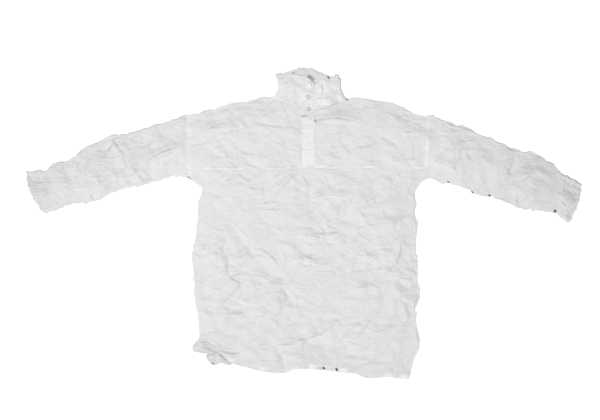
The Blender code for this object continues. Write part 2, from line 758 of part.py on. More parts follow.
def sleeves(collection):
    """Both sleeves, from the armhole to the cuff seam, and both cuffs."""
    for side, sleeve, cuff, bow in (
        ("left", LEFT_SLEEVE, LEFT_CUFF, LEFT_CUFF_BOW),
        ("right", RIGHT_SLEEVE, RIGHT_CUFF, RIGHT_CUFF_BOW),
    ):
        first = shifted(sleeve[0], sleeve[1], SEAM_GAP / 2)
        sections = [first] + sleeve[1:]
        tube("sleeve_" + side, sections, SLEEVE_STEP, 0.0, collection, WHITE_COTTON)
        start = shifted(sleeve[-1], cuff[0], SEAM_GAP)
        tube("cuff_" + side, [start] + cuff, SLEEVE_STEP, bow, collection, WHITE_COTTON)


def collar(front_edge, back_edge, collection):
    """The tall collar: one band round the neck, its left end over its right one."""
    stations = COLLAR_FRONT_LEFT + COLLAR_BACK + COLLAR_FRONT_RIGHT
    table = np.array(stations, float)
    v = np.linspace(0, 1, COLLAR_ROWS)[None, :]
    foot_x, rim_x, waist, foot_z, rim_z, rim_y = (table[:, k : k + 1] for k in range(6))
    first_back = len(COLLAR_FRONT_LEFT)
    is_back = np.zeros(len(stations), bool)
    is_back[first_back : first_back + len(COLLAR_BACK)] = True
    at_front, at_back = (np.interp(foot_x[:, 0], *edge) for edge in (front_edge, back_edge))
    foot_y = np.where(is_back, at_back, at_front)[:, None] + COLLAR_GAP
    x = mix(foot_x, rim_x, v) + waist * 4 * v * (1 - v)
    z = mix(foot_z, rim_z, v)
    y = mix(foot_y, rim_y, v)
    way = np.stack([np.gradient(x, axis=0), np.gradient(z, axis=0)])
    way = way / np.hypot(*way)
    inner_x, inner_z = x - COLLAR_WALL * way[1], z + COLLAR_WALL * way[0]
    outer, inner = np.stack([x, y, z], axis=2), np.stack([inner_x, y, inner_z], axis=2)
    return solid_between("collar", outer, inner, collection, WHITE_COTTON_DOUBLE)


def seat_height(carriers, x, y):
    """The highest point of the pieces under a button at (x, y)."""
    around = [(x, y)] + [
        (x + BUTTON_RADIUS * share * math.cos(a), y + BUTTON_RADIUS * share * math.sin(a))
        for share in (0.5, 1.0)
        for a in np.linspace(0, 2 * math.pi, 16, endpoint=False)
    ]
    highest = -math.inf
    for carrier in carriers:
        tree = BVHTree.FromObject(carrier, bpy.context.evaluated_depsgraph_get())
        for px, py in around:
            hit = tree.ray_cast(Vector((px * MM, py * MM, 1.0)), Vector((0, 0, -1)))[0]
            if hit is not None:
                highest = max(highest, hit.z / MM)
    return highest


def button_cutter(collection):
    """Four round pegs that cut a button's thread holes."""
    mesh = bmesh.new()
    for angle in range(45, 360, 90):
        a = math.radians(angle)
        peg = bmesh.ops.create_cone(
            mesh,
            cap_ends=True,
            segments=BUTTON_HOLE_SIDES,
            radius1=BUTTON_HOLE_RADIUS * MM,
            radius2=BUTTON_HOLE_RADIUS * MM,
            depth=8 * MM,
        )
        spread = BUTTON_HOLE_SPREAD * MM
        offset = Vector((spread * math.cos(a), spread * math.sin(a), 0))
        bmesh.ops.translate(mesh, verts=peg["verts"], vec=offset)
    data = bpy.data.meshes.new("button_hole_pegs")
    mesh.to_mesh(data)
    mesh.free()
    cutter = bpy.data.objects.new("button_hole_pegs", data)
    cutter.hide_render = True
    cutter.display_type = "WIRE"
    collection.objects.link(cutter)
    return cutter


def button(row, cutters, collection):
    """A turned button with four holes, resting on the piece that it closes."""
    data = bpy.data.meshes.new(row.name)
    points = [(p.radius * MM, 0.0, p.height * MM) for p in BUTTON_PROFILE]
    data.from_pydata(points, [(k, k + 1) for k in range(len(points) - 1)], [])
    data.materials.append(material(PEARL))
    made = bpy.data.objects.new(row.name, data)
    collection.objects.link(made)
    carriers = [bpy.data.objects[key] for key in ("collar", "placket")]
    z = seat_height(carriers, row.x, row.y) + SEAM_GAP
    made.location = (row.x * MM, row.y * MM, z * MM)
    screw = made.modifiers.new("turn", "SCREW")
    screw.steps = screw.render_steps = BUTTON_SIDES
    screw.use_merge_vertices = True
    screw.merge_threshold = 0.00001
    screw.use_normal_calculate = True
    cutter = button_cutter(cutters)
    cutter.location = made.location
    cut = made.modifiers.new("thread_holes", "BOOLEAN")
    cut.operation = "DIFFERENCE"
    cut.object = cutter
    return made


def clear_scene():
    """Removes what the scene held before."""
    for item in list(bpy.data.objects):
        bpy.data.objects.remove(item)


def main():
    """Builds the shirt in its own collection."""
    clear_scene()
    shirt = bpy.data.collections.new("crumpled_shirt")
    cutters = bpy.data.collections.new("cutters")
    bpy.context.scene.collection.children.link(shirt)
    bpy.context.scene.collection.children.link(cutters)
    front_edge = front(shirt)
    back_edge = back(shirt)
    sleeves(shirt)
    collar(front_edge, back_edge, shirt)
    bpy.context.view_layer.update()
    for row in BUTTONS:
        button(row, cutters, shirt)


main()
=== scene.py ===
"""The looks of a crumpled white pull-over shirt, laid flat on its back.

The wearer's front faces up (+Z), the collar points to +Y and the hem to -Y. Left and right are
the viewer's. Lengths are in millimetres unless a comment says metres, and the meshes are in
metres.
"""

import math
from collections import namedtuple

import bpy
import numpy as np
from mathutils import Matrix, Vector
from mathutils.bvhtree import BVHTree
from mathutils.geometry import delaunay_2d_cdt


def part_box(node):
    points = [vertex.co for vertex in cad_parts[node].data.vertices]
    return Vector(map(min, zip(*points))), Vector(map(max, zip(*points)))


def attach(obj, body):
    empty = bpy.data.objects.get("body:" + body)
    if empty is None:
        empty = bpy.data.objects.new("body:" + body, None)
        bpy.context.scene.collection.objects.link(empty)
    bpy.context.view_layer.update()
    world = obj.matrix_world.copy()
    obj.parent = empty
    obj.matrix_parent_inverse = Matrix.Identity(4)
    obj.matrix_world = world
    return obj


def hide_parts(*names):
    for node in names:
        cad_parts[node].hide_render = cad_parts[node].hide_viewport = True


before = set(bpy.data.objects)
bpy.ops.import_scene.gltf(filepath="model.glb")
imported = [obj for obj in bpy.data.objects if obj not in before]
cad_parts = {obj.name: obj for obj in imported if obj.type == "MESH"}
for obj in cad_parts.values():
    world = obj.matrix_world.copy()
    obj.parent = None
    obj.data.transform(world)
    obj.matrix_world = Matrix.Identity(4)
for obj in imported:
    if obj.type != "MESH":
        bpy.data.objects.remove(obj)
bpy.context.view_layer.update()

MM = 0.001

# The cloth as it is seen: thinner than the solids' walls, and lying inside them
CLOTH = 0.7
COLLAR_CLOTH = 1.0
CUFF_CLOTH = 1.0
FLOOR_GAP = 0.25
EDGE_TOP = 2.1
LOBE_RISE = 2.4  # how far the twisted corner stands up
LOFT = 13.0
LOFT_AT_HEM = 9.0
LOWEST_INSIDE = 5.0
EDGE_FOLD = 5.0  # the tight fold at a seam, which makes the first part of the rise
EDGE_FOLD_SHARE = 0.24
EDGE_RUN = 70.0
FOLD_RUN = 7.0
HEM_RUN = 30.0
JAG = 2.4  # how far the outline's small corners stand in or out
JAG_STEP = 10.0
SEAM_LAP = 1.3  # how far one panel lies over the next at a seam
RAGGED = 1.7  # how much more uneven the sleeves' outline is than the body's
TUBE_FOLD_Z = 1.15  # the height of a sleeve's or cuff's folded edges
TUBE_FOLD_OUT = 0.8  # and how far they bulge
ARM_TURN = 0.33  # how far the sleeves' cloth is turned from the body's, in radians

# Mesh spacing
FRONT_STEP = 2.15
CHEST_STEP = 1.9
SLEEVE_STEP = 1.9
BACK_STEP = 5.0
CORNER_STEP = 2.0  # over the back's twisted corner
CORNER_REACH = 105.0
CUFF_STEP = 1.9
COLLAR_STEP = 1.8
COLLAR_HEIGHT = 90
INSIDE_EVERY = 3  # a panel's hidden face has one point for so many of its outer face
EDGE_CELL = 0.4  # the narrow first and last cells, which shade an edge crisply

# Sewing
HEM_BAND = 15.0
ARMHOLE_BAND = 10.5
CHEST_BAND = 6.0
STITCH_LENGTH = 2.3
STITCH_PITCH = 3.1
STITCH_WIDTH = 0.55
STITCH_RISE = 0.22
BUTTON_HOLE_SPREAD = 1.45
THREAD_REACH = 2.9
THREAD_DEPTH = 0.5
SLIT_X = 12.4
PLACKET_LEFT = -5.0
PLACKET_RIGHT = 29.5
PLACKET_RISE = 0.8
PLACKET_TUCK = 301.0  # above this the placket is pushed down under a fold, and painted darker as its shade
PLACKET_END = 166.0
PLACKET_LENGTH = 160
PLACKET_STEPS = (1.7, 1.8)  # across it and along it
PLACKET_BOX = [  # the crossed box of stitches at the placket's foot
    (-3, 203), (27.5, 203), (27.5, 168), (-3, 168), (-3, 203), (27.5, 168), (27.5, 203), (-3, 168)
]
PLACKET_BOX_SIDES = list(zip(PLACKET_BOX[:-1], PLACKET_BOX[1:]))
STITCHED_EVERY = 2.0  # between the points that a row of stitches is laid through
STITCH_FACES = [(0, 1, 3, 2), (4, 6, 7, 5), (0, 2, 6, 4), (2, 3, 7, 6), (3, 1, 5, 7), (1, 0, 4, 5)]

# What each cloth piece takes its finish from, the flat size of its cut in metres, the cut's area
# where it isn't a rectangle, and what it lies on
Cut = namedtuple("Cut", "slot flat area rests_on")


def named_rows(kind, rows):
    """A table's rows, with their columns named."""
    return [kind(*row) for row in rows]


# The outline of the body, seen from above
Side = namedtuple("Side", "y x")
LEFT_SIDE = named_rows(Side, [
    (-346, -280), (-332, -286), (-318, -291), (-296, -294), (-262, -298), (-226, -305),
    (-184, -308), (-128, -311), (-88, -314), (-44, -306), (-10, -300.5), (29, -300), (71, -295),
    (93.5, -287), (107.5, -291), (119, -311), (130, -323),
])
RIGHT_SIDE = named_rows(Side, [
    (-435, 294), (-405, 300.5), (-380, 308), (-352, 322), (-329, 325.5), (-276, 313.5),
    (-256.5, 316.5), (-240, 311), (-220, 318), (-195, 325.5), (-158.5, 319), (-105, 319),
    (-77, 313.5), (-24, 316), (-4.5, 319), (35, 309), (51.5, 314.5), (71, 312), (93.5, 311),
    (107.5, 322), (119, 332), (128.5, 347),
])
BACK_LEFT_CORNER = named_rows(Side, [
    (-396, -256), (-384, -268), (-372, -276), (-362, -281), (-359, -300), (-350, -313),
    (-337, -309), (-325, -299), (-312, -293),
])
Edge = namedtuple("Edge", "x y")
HEM = named_rows(Edge, [
    (-280, -346), (-256, -360), (-236, -365), (-219, -380), (-200, -390), (-179, -396.5),
    (-146, -405), (-112, -413), (-78, -416), (-48, -416), (-29, -407), (6, -405), (39, -407.5),
    (73, -410.5), (106, -416), (140, -417.5), (171, -430), (207, -430), (230, -427), (263, -431.5),
    (294, -435),
])
BACK_HEM = named_rows(Edge, [
    (-256, -396), (-246, -394.5), (-238, -390.5), (-224, -391), (-211, -395.5), (-199, -392),
    (-179, -394), (-146, -402), (-112, -409), (-48, -412), (-29, -403), (39, -403.5), (106, -412),
    (171, -425), (230, -423), (294, -431),
])
CHEST_SEAM = named_rows(Edge, [
    (-319, 159.3), (-207, 157), (-104, 156.5), (-11, 162.7), (115, 164), (269, 160.7),
    (354, 159.3),
])
LEFT_SHOULDER = named_rows(Edge, [
    (-326, 307), (-297, 312), (-272, 322), (-246, 324), (-227, 333), (-196, 340), (-162, 343.5),
    (-134, 350), (-109, 357), (-84, 356),
])
NECKLINE = named_rows(Edge, [
    (-59, 345.5), (-34, 336), (-6, 327.5), (14, 324.5), (34, 326), (62, 331.5), (90, 343),
])
RIGHT_SHOULDER = named_rows(Edge, [
    (118, 352), (140, 354), (179, 351), (213, 345.5), (241, 341), (266, 333), (291, 320),
    (311, 309), (333, 306), (353, 303.5),
])
BACK_NECK = named_rows(Edge, [
    (-59, 349), (18, 345), (90, 348),
])

# The sleeves, from the armhole to the cuff, each section across the sleeve
Section = namedtuple("Section", "upper_x upper_y lower_x lower_y")
LEFT_SLEEVE = named_rows(Section, [
    (-326, 307, -323, 130), (-344, 301, -344, 133), (-367, 292, -367, 135.5),
    (-395, 284, -393, 125), (-426, 275.5, -421, 120), (-449, 273, -442, 114),
    (-468, 261.5, -456, 109), (-493, 255, -479, 104.5), (-524, 253, -504, 99),
    (-549, 247.5, -526, 93.5), (-574, 235, -549, 82), (-599, 222, -570, 72.5),
    (-622, 208, -588, 67), (-641, 194, -608, 62), (-664, 177.5, -630, 60), (-689, 170.5, -652, 57),
    (-714, 161, -676, 49), (-725, 149, -687, 44.5),
])
RIGHT_SLEEVE = named_rows(Section, [
    (353, 303.5, 347, 128.5), (375, 298, 375, 121.5), (398, 287.5, 395, 116),
    (423, 279.5, 417, 113), (448, 272.5, 440, 107.5), (470, 264.5, 459, 102),
    (493, 253, 475, 86.5), (510, 242, 496, 82.5), (529, 239, 515, 77), (554, 225, 535, 74),
    (577, 214, 557, 69), (596, 207.5, 574, 58.5), (622, 204, 596, 51.5), (644, 197, 622, 44.5),
    (664, 188, 641, 39), (683, 177.5, 664, 39.5), (700, 169, 683, 36), (713, 154, 700, 33.5),
    (731, 137, 713, 30.5),
])
LEFT_CUFF = named_rows(Section, [
    (-725, 149, -687, 44.5), (-750, 148.5, -707, 39), (-780, 147.5, -729, 30.5),
])
RIGHT_CUFF = named_rows(Section, [
    (731, 137, 713, 28), (757, 127, 731, 13.5), (780, 112, 747.5, 7.5),
])
LEFT_CUFF_BOW = 11.0
RIGHT_CUFF_BOW = 4.0
CUFF_RISE = 0.9
ARMHOLE_RUN = 28.0  # over which a sleeve's relief leaves the body's
RIM_SHADE_REACH = 3.0  # how far in from a sleeve's upper edge its broken line of painted shade reaches
ARM_SHADE = {"left": 0.15, "right": 0.4}  # painted shade: how much darker a sleeve grows towards its cuff, for the light's fall along it
# painted shade over each cuff, darker on the right as the light falls off
CUFF_SHADE = {"left": 0.45, "right": 0.6}

Crease = namedtuple("Crease", "depth lift points")


def crease_rows(rows):
    """A table of sharp creases: depth, lift, then the points that each one runs through."""
    return [Crease(depth, lift, points) for depth, lift, *points in rows]


# The collar's outer face, from the end over the slit, round the neck to the end under it
Station = namedtuple("Station", "foot_x rim_x waist foot_z rim_z rim_y")
COLLAR = named_rows(Station, [
    (29, 29, 0, 14.9, 16.2, 394.5), (21, 20, 0, 14.9, 16.2, 403), (8, 7, 0, 14.9, 16.2, 412.5),
    (-6, -7, 0, 14.6, 16.0, 416), (-22, -22, 0, 14.2, 15.6, 417), (-40, -39, 1, 13.5, 15.0, 415.5),
    (-57, -55, 3, 12.5, 14.0, 413), (-72, -68, 6, 11.0, 12.5, 416),
    (-83, -78, 10, 7.6, 8.8, 418.5), (-87, -80.5, 11, 4.4, 5.0, 418),
    (-83, -78, 10, 1.2, 1.4, 419.5), (-70, -68, 6, 0.3, 0.3, 420), (-40, -40, 0, 0.3, 0.3, 425),
    (-20, -20, 0, 0.3, 0.3, 433), (0, 0, 0, 0.3, 0.3, 435.0), (22, 22, 0, 0.3, 0.3, 431.5),
    (42, 42, 0, 0.3, 0.3, 423), (62, 62, 0, 0.3, 0.3, 415), (84, 80, 0, 0.3, 0.3, 410),
    (104, 93, -2, 0.3, 0.3, 408), (116, 100, -6, 1.2, 1.4, 407), (121, 103, -7, 4.4, 5.0, 407),
    (116, 100, -6, 7.6, 8.8, 409), (99, 91, -2, 10.4, 12.0, 417), (80, 77, 0, 11.6, 13.0, 411),
    (62, 61, 0, 12.3, 13.5, 407), (46, 46, 0, 12.6, 13.8, 397), (30, 30, 0, 12.6, 13.8, 393),
    (12, 12, 0, 12.6, 13.8, 392), (-3, -3, 0, 12.6, 13.8, 390),
])
COLLAR_SHARP = crease_rows([
    (2.2, 1.4, (47, 404), (52, 394), (54, 380), (51, 364), (46, 352)),
    (1.4, 0.9, (-52, 372), (-24, 374), (2, 370)), (1.2, 0.8, (66, 398), (74, 384), (90, 376)),
    (1.2, 0.8, (-66, 402), (-46, 394), (-28, 396)),
])
TACKS = [(30.8, 373), (30.8, 354), (30.8, 334)]  # short bars of stitches beside the slit
COLLAR_CRUMPLE = 1.1
BACK_RIM_RISE = 12.3  # how far the collar's back stands up at its rim, behind the front
BUTTON_NODES = ("button_top", "button_middle", "button_neck")
OVERLAP_END = 1.1  # how far the upper end of the overlap is pressed down
COLLAR_BACK_FROM = 10
COLLAR_BACK_TO = 20

# Folds and creases. A crest runs from one end to the other, bowed to its left. The cloth
# rises to it (or falls, where rise is negative) over left and right.
Fold = namedtuple("Fold", "x0 y0 x1 y1 bow rise left right")
FOLDS = named_rows(Fold, [
    # chest
    (22, 289, 176, 273, 14, 7.0, 34, 9), (-118, 272, -40, 258, 6, 1.6, 24, 12),
    (-312, 243, -160, 272, 12, 5.0, 30, 12), (-160, 272, -40, 250, 8, 2.5, 18, 18),
    (-265, 226, -200, 170, 4, 3.0, 22, 16), (-190, 244, -120, 182, -6, -3.0, 24, 20),
    (-90, 210, -20, 232, 4, 2.5, 18, 22), (95, 235, 140, 196, 6, -3.0, 22, 20),
    (128, 206, 212, 228, -4, 3.0, 14, 24), (210, 250, 268, 212, 6, -3.0, 22, 18),
    (232, 190, 300, 168, -5, 4.5, 18, 14), (264, 262, 348, 268, -8, 4.0, 24, 14),
    (250, 305, 345, 288, 8, -3.5, 18, 22), (60, 190, 110, 172, 4, 2.5, 14, 14),
    (-250, 300, -140, 318, 6, 2.5, 20, 26),
    # front of the body
    (-102, 120, -10, 160, 6, 3.5, 24, 18), (-92, 70, -4, 150, 12, 4.5, 26, 14),
    (-292, 92, -234, 76, 4, -4.0, 18, 16), (-180, 57, -52, 68, -5, 3.5, 20, 10),
    (14, 72, 134, 74, 10, 5.5, 28, 8), (104, 98, 172, 114, 5, 3.0, 20, 12),
    (-292, -16, -178, -26, 6, 3.0, 20, 12), (-208, 18, -146, -72, -8, -3.5, 22, 24),
    (-150, -74, -202, -98, 3, 4.0, 18, 18), (-150, -66, -70, -108, 6, 4.0, 20, 12),
    (-102, 6, 18, -26, -14, 4.5, 26, 12), (-40, -6, 52, -18, 6, -3.5, 18, 24),
    (-94, -46, 0, -86, 5, 3.5, 16, 20), (-50, -84, 74, -110, -6, 4.5, 20, 10),
    (-4, -134, 134, -76, -8, 4.0, 22, 14), (62, -152, 158, -92, 6, 3.5, 18, 18),
    (130, -82, 270, -66, -14, 4.0, 20, 14), (116, 26, 242, 54, 6, 3.5, 18, 18),
    (132, -12, 308, 34, -12, 4.5, 24, 12), (208, -158, 270, -44, -10, 5.0, 18, 26),
    (252, -138, 314, -152, -10, 3.5, 18, 12), (-116, -176, -20, -178, 10, 4.5, 24, 9),
    (-162, -136, -92, -160, 6, 3.0, 20, 14), (-248, -240, -178, -170, 5, 4.5, 22, 16),
    (-182, -204, -116, -218, -8, 3.5, 20, 14), (-58, -182, -32, -232, 5, -4.0, 20, 22),
    (-102, -210, -18, -254, 6, 4.0, 18, 14), (66, -192, 254, -188, 16, 4.5, 24, 12),
    (72, -214, 256, -218, 4, 2.5, 14, 18), (10, -256, 108, -260, 12, 3.5, 20, 12),
    (-292, -232, -240, -264, -4, 4.0, 16, 16), (-250, -292, -196, -282, -6, -3.5, 16, 18),
    (-204, -294, -136, -280, -6, 3.0, 18, 14), (-90, -342, 62, -290, -12, 6.0, 28, 14),
    (62, -292, 102, -272, 6, 4.0, 20, 14), (92, -330, 190, -262, -10, 5.0, 26, 16),
    (188, -304, 258, -278, -6, 3.5, 18, 14), (256, -316, 186, -388, 10, -3.5, 20, 22),
    (256, -314, 264, -368, 4, 3.5, 18, 14), (104, -370, 200, -364, 6, -4.5, 26, 22),
    (-262, -342, -176, -366, -8, 5.5, 16, 12), (-284, -318, -256, -300, 4, -3.5, 12, 14),
    (282, -212, 296, -276, -6, 4.5, 16, 16), (-250, -60, -262, -150, 8, 3.0, 26, 22),
    (-30, -300, 40, -352, 6, -3.0, 24, 24), (-200, -330, -100, -398, 6, 3.0, 24, 20),
    # left sleeve
    (-462, 152, -316, 222, 12, 7.0, 26, 12), (-546, 138, -462, 156, -10, 5.0, 24, 12),
    (-664, 100, -548, 120, -4, 4.5, 24, 12), (-752, 116, -694, 118, -4, 3.5, 20, 14),
    (-480, 254, -440, 210, 5, -3.5, 20, 20), (-600, 210, -560, 140, 6, 3.0, 28, 26),
    (-404, 152, -350, 170, 4, 3.0, 16, 14), (-655, 160, -640, 80, 4, -3.0, 22, 22),
    (-706, 90, -690, 60, 3, 3.0, 14, 14), (-372, 276, -352, 236, -3, 2.5, 14, 16),
    # right sleeve
    (352, 186, 434, 158, -5, 6.5, 24, 10), (402, 192, 494, 240, 8, 3.5, 20, 24),
    (486, 192, 536, 168, -4, 4.0, 24, 12), (508, 104, 606, 98, 4, 3.5, 18, 12),
    (590, 128, 690, 136, 10, 5.0, 24, 14), (606, 62, 664, 104, 5, 3.5, 18, 18),
    (572, 136, 592, 170, -3, -3.5, 18, 18), (552, 186, 624, 200, 10, 3.0, 22, 18),
    (486, 96, 506, 128, -3, 3.0, 14, 14), (700, 84, 742, 56, 5, 3.5, 16, 16),
    (440, 250, 470, 170, 6, -3.0, 24, 22), (640, 190, 700, 120, -8, 3.0, 26, 20),
])
COLLAR_FOLDS = named_rows(Fold, [
    (-50, 371, 4, 370, 3, 1.6, 14, 5), (55, 397, 54, 360, 2, -1.6, 8, 5),
    (-64, 398, -30, 386, 3, 1.2, 10, 6), (-58, 352, -20, 345, -3, 1.0, 8, 6),
    (62, 372, 98, 386, 4, 1.2, 10, 7), (36, 340, 92, 358, -3, 1.2, 9, 6),
])
CREST_ROUNDING = 1.6
FOOT_AT = 0.7
FOOT_WIDTH = 3.4
FOOT_DEPTH = 0.32

# Sharp creases, placed one by one. Each goes down by its depth along its points, and the cloth
# on its left stands up by its lift.
SHARP = crease_rows([
    # chest
    (3.6, 2.4, (2, 300), (18, 298), (32, 291), (50, 293), (73, 296), (104, 298), (122, 297)),
    (3.0, 0.8, (-16, 303), (2, 303), (18, 301), (31, 298)),
    (3.4, 0.6, (28, 305), (31, 298), (34, 290), (40, 284)),
    (2.4, 1.6, (25, 319), (40, 323), (64, 328), (92, 340), (106, 350)),
    (1.4, 0.8, (-78, 353), (-52, 342), (-24, 333), (0, 325)),
    (2.0, 1.6, (100, 297), (123, 295), (151, 287), (176, 272)),
    (0.7, 0.5, (-118, 273), (-90, 266), (-53, 262)),
    (1.6, 1.2, (-308, 243), (-269, 267), (-246, 281), (-218, 290)),
    (0.9, 0.7, (-230, 287), (-193, 278), (-171, 284), (-134, 270), (-108, 272)),
    (1.2, 0.5, (-162, 236), (-146, 208), (-139, 190)), (1.1, 0.8, (101, 234), (134, 200)),
    (1.1, 0.7, (129, 208), (171, 220), (207, 228)), (1.2, 0.8, (213, 248), (246, 234), (263, 217)),
    (1.2, 0.8, (235, 194), (246, 180), (283, 175)), (1.1, 0.9, (269, 264), (311, 259), (347, 270)),
    (1.0, 0.6, (283, 298), (325, 292), (350, 297)), (0.9, 0.5, (-96, 240), (-62, 226), (-44, 232)),
    (0.8, 0.5, (-255, 215), (-214, 224), (-190, 214)),
    (0.8, 0.6, (48, 262), (82, 254), (112, 262)), (0.8, 0.5, (-205, 192), (-188, 172)),
    (0.9, 0.5, (162, 186), (190, 178), (222, 182)),
    (1.7, 1.0, (-12, 302), (4, 306), (16, 303), (30, 297), (44, 294)),
    (1.4, 0.8, (-12, 262), (2, 257), (14, 259), (24, 255)),
    (1.1, 0.7, (10, 236), (20, 231), (36, 235)), (1.3, 0.7, (-10, 216), (4, 211), (22, 213)),
    (1.0, 0.6, (2, 284), (14, 280), (32, 283)),
    # front of the body
    (1.3, 0.9, (-101, 122), (-59, 147), (-11, 158)),
    (1.4, 1.0, (-90, 68), (-53, 108), (-31, 133), (-3, 152)),
    (1.6, 1.0, (-296, 98), (-262, 86), (-235, 77), (-212, 82)),
    (1.5, 1.0, (-179, 57), (-146, 54), (-95, 66), (-53, 66)),
    (2.0, 1.4, (14, 70), (50, 82), (115, 82), (136, 70)),
    (1.2, 0.9, (104, 99), (129, 110), (171, 116)),
    (1.3, 0.9, (-293, -16), (-221, -13), (-179, -27)),
    (1.4, 0.9, (-207, 18), (-179, -10), (-157, -32), (-148, -72)),
    (1.7, 0.9, (-150, -74), (-174, -88), (-202, -97)),
    (1.8, 1.0, (-150, -74), (-118, -66), (-81, -94), (-73, -111), (-62, -122)),
    (1.3, 0.9, (-101, 7), (-67, -18), (-34, -30), (17, -24)),
    (1.1, 0.7, (-39, -4), (3, -7), (50, -16)),
    (1.5, 1.0, (-50, -83), (-11, -97), (31, -108), (73, -108)),
    (1.5, 1.0, (-3, -133), (39, -119), (67, -102), (106, -86), (134, -77)),
    (1.2, 0.7, (73, -150), (96, -122), (115, -105)),
    (1.2, 0.9, (45, -147), (87, -128), (129, -114), (157, -105)),
    (1.5, 0.9, (129, -80), (171, -88), (199, -72), (227, -66), (269, -66)),
    (1.3, 0.9, (115, 26), (151, 40), (190, 49), (241, 54)),
    (1.6, 1.1, (129, -10), (190, 2), (255, 7), (283, 21), (310, 42)),
    (1.5, 1.0, (213, -156), (241, -128), (263, -105), (274, -72), (269, -44)),
    (1.2, 0.8, (255, -139), (283, -153), (314, -150)),
    (1.9, 1.2, (-118, -176), (-81, -170), (-48, -164), (-20, -176)),
    (1.1, 0.8, (-160, -136), (-118, -142), (-90, -158)),
    (1.5, 1.0, (-248, -240), (-221, -214), (-193, -186), (-179, -172)),
    (1.1, 0.7, (-179, -203), (-151, -220), (-118, -214)),
    (1.3, 0.7, (-56, -184), (-39, -209), (-31, -228)),
    (1.3, 0.9, (-101, -212), (-67, -228), (-39, -240), (-18, -252)),
    (1.5, 1.0, (67, -192), (115, -186), (162, -170), (185, -161), (213, -175), (258, -190)),
    (1.0, 0.6, (73, -212), (129, -206)), (1.0, 0.6, (143, -214), (200, -218), (255, -217)),
    (1.2, 0.9, (8, -256), (45, -240), (87, -248), (108, -260)),
    (1.3, 0.9, (-293, -226), (-272, -248), (-241, -262)),
    (2.6, 1.2, (-296, -314), (-274, -309), (-256, -298)),
    (1.8, 1.0, (-258, -302), (-240, -298), (-219, -301)),
    (1.1, 0.7, (-202, -293), (-165, -296), (-137, -282)),
    (2.2, 1.3, (-90, -342), (-39, -329), (3, -318), (45, -310), (59, -296), (98, -272)),
    (1.6, 1.1, (92, -332), (129, -296), (157, -268), (188, -262)),
    (1.2, 0.8, (188, -301), (227, -290), (260, -278)),
    (1.6, 0.8, (256, -318), (227, -357), (190, -385), (143, -399)),
    (1.3, 0.7, (256, -314), (263, -366)),
    (1.3, 0.7, (-270, -338), (-249, -350), (-221, -354), (-176, -358)),
    (1.8, 1.5, (-283, -337), (-262, -352), (-238, -362), (-221, -376), (-200, -388)),
    (2.6, 1.2, (-237, -349), (-219, -357), (-196, -360), (-171, -357)),
    (2.0, 1.2, (-286, -324), (-262, -334), (-246, -344), (-236, -350)),
    (2.0, 1.2, (-284, -330), (-266, -342), (-250, -353)),
    (1.6, 1.0, (-284, -318), (-256, -322), (-232, -336), (-206, -342)),
    (1.3, 0.8, (-160, -372), (-118, -380), (-84, -378), (-50, -386)),
    (1.2, 0.7, (110, -372), (142, -366), (170, -376), (206, -374)),
    (1.0, 0.5, (22, -355), (34, -386)), (1.3, 0.8, (289, -214), (302, -240), (297, -268)),
    (0.9, 0.6, (-262, 30), (-226, 44), (-200, 40)),
    (0.9, 0.6, (-180, 122), (-150, 112), (-128, 118)),
    (0.9, 0.6, (196, 96), (240, 104), (282, 92)), (0.8, 0.5, (20, 24), (62, 18), (92, 24)),
    (0.9, 0.6, (-268, -122), (-236, -134), (-212, -126)),
    (0.9, 0.5, (-118, -300), (-84, -292), (-60, -298)),
    # left sleeve
    (2.4, 1.8, (-459, 158), (-426, 186), (-395, 206), (-358, 217), (-334, 220)),
    (2.0, 1.4, (-318, 220), (-288, 226), (-256, 231)),
    (1.8, 1.2, (-557, 138), (-515, 135), (-479, 136), (-459, 156)),
    (1.5, 1.1, (-661, 102), (-599, 108), (-549, 116)),
    (1.3, 0.8, (-641, 186), (-610, 194), (-585, 204)), (1.2, 0.8, (-403, 152), (-370, 180)),
    (1.2, 0.8, (-353, 172), (-330, 166)), (1.2, 0.8, (-501, 246), (-480, 240), (-462, 248)),
    (1.2, 0.8, (-520, 205), (-494, 214), (-470, 212)),
    (1.1, 0.7, (-452, 250), (-434, 226), (-428, 204)),
    (1.0, 0.6, (-604, 160), (-572, 170), (-548, 164)),
    (1.0, 0.6, (-400, 268), (-378, 252), (-350, 250)),
    (1.0, 0.6, (-678, 80), (-650, 84), (-626, 80)),
    (1.0, 0.6, (-690, 140), (-664, 132), (-640, 136)),
    # right sleeve
    (2.0, 1.4, (360, 184), (395, 169), (431, 154), (446, 142)),
    (1.4, 0.9, (403, 194), (426, 220), (445, 236), (493, 240)),
    (1.5, 1.0, (487, 189), (507, 172), (529, 169)), (1.4, 1.0, (512, 105), (563, 102), (605, 96)),
    (1.6, 1.0, (590, 124), (605, 122), (633, 133), (666, 122), (688, 130)),
    (1.4, 0.9, (605, 60), (627, 80), (655, 99)), (1.1, 0.6, (563, 164), (582, 152), (571, 138)),
    (1.1, 0.7, (582, 187), (616, 194)), (1.1, 0.7, (487, 96), (504, 124)),
    (1.2, 0.8, (366, 262), (392, 248), (424, 256)), (1.1, 0.7, (380, 222), (402, 212), (420, 198)),
    (1.0, 0.6, (452, 206), (470, 186), (476, 160)), (1.1, 0.7, (646, 168), (668, 152), (694, 150)),
    (1.0, 0.6, (420, 130), (450, 122), (476, 126)),
    # cuffs
    (1.3, 0.8, (-756, 117), (-728, 121), (-697, 119)),
    (1.0, 0.6, (-748, 84), (-722, 78), (-704, 66)), (1.3, 0.8, (703, 82), (731, 54), (752, 46)),
    (1.2, 0.8, (722, 128), (742, 118), (760, 108)),
])
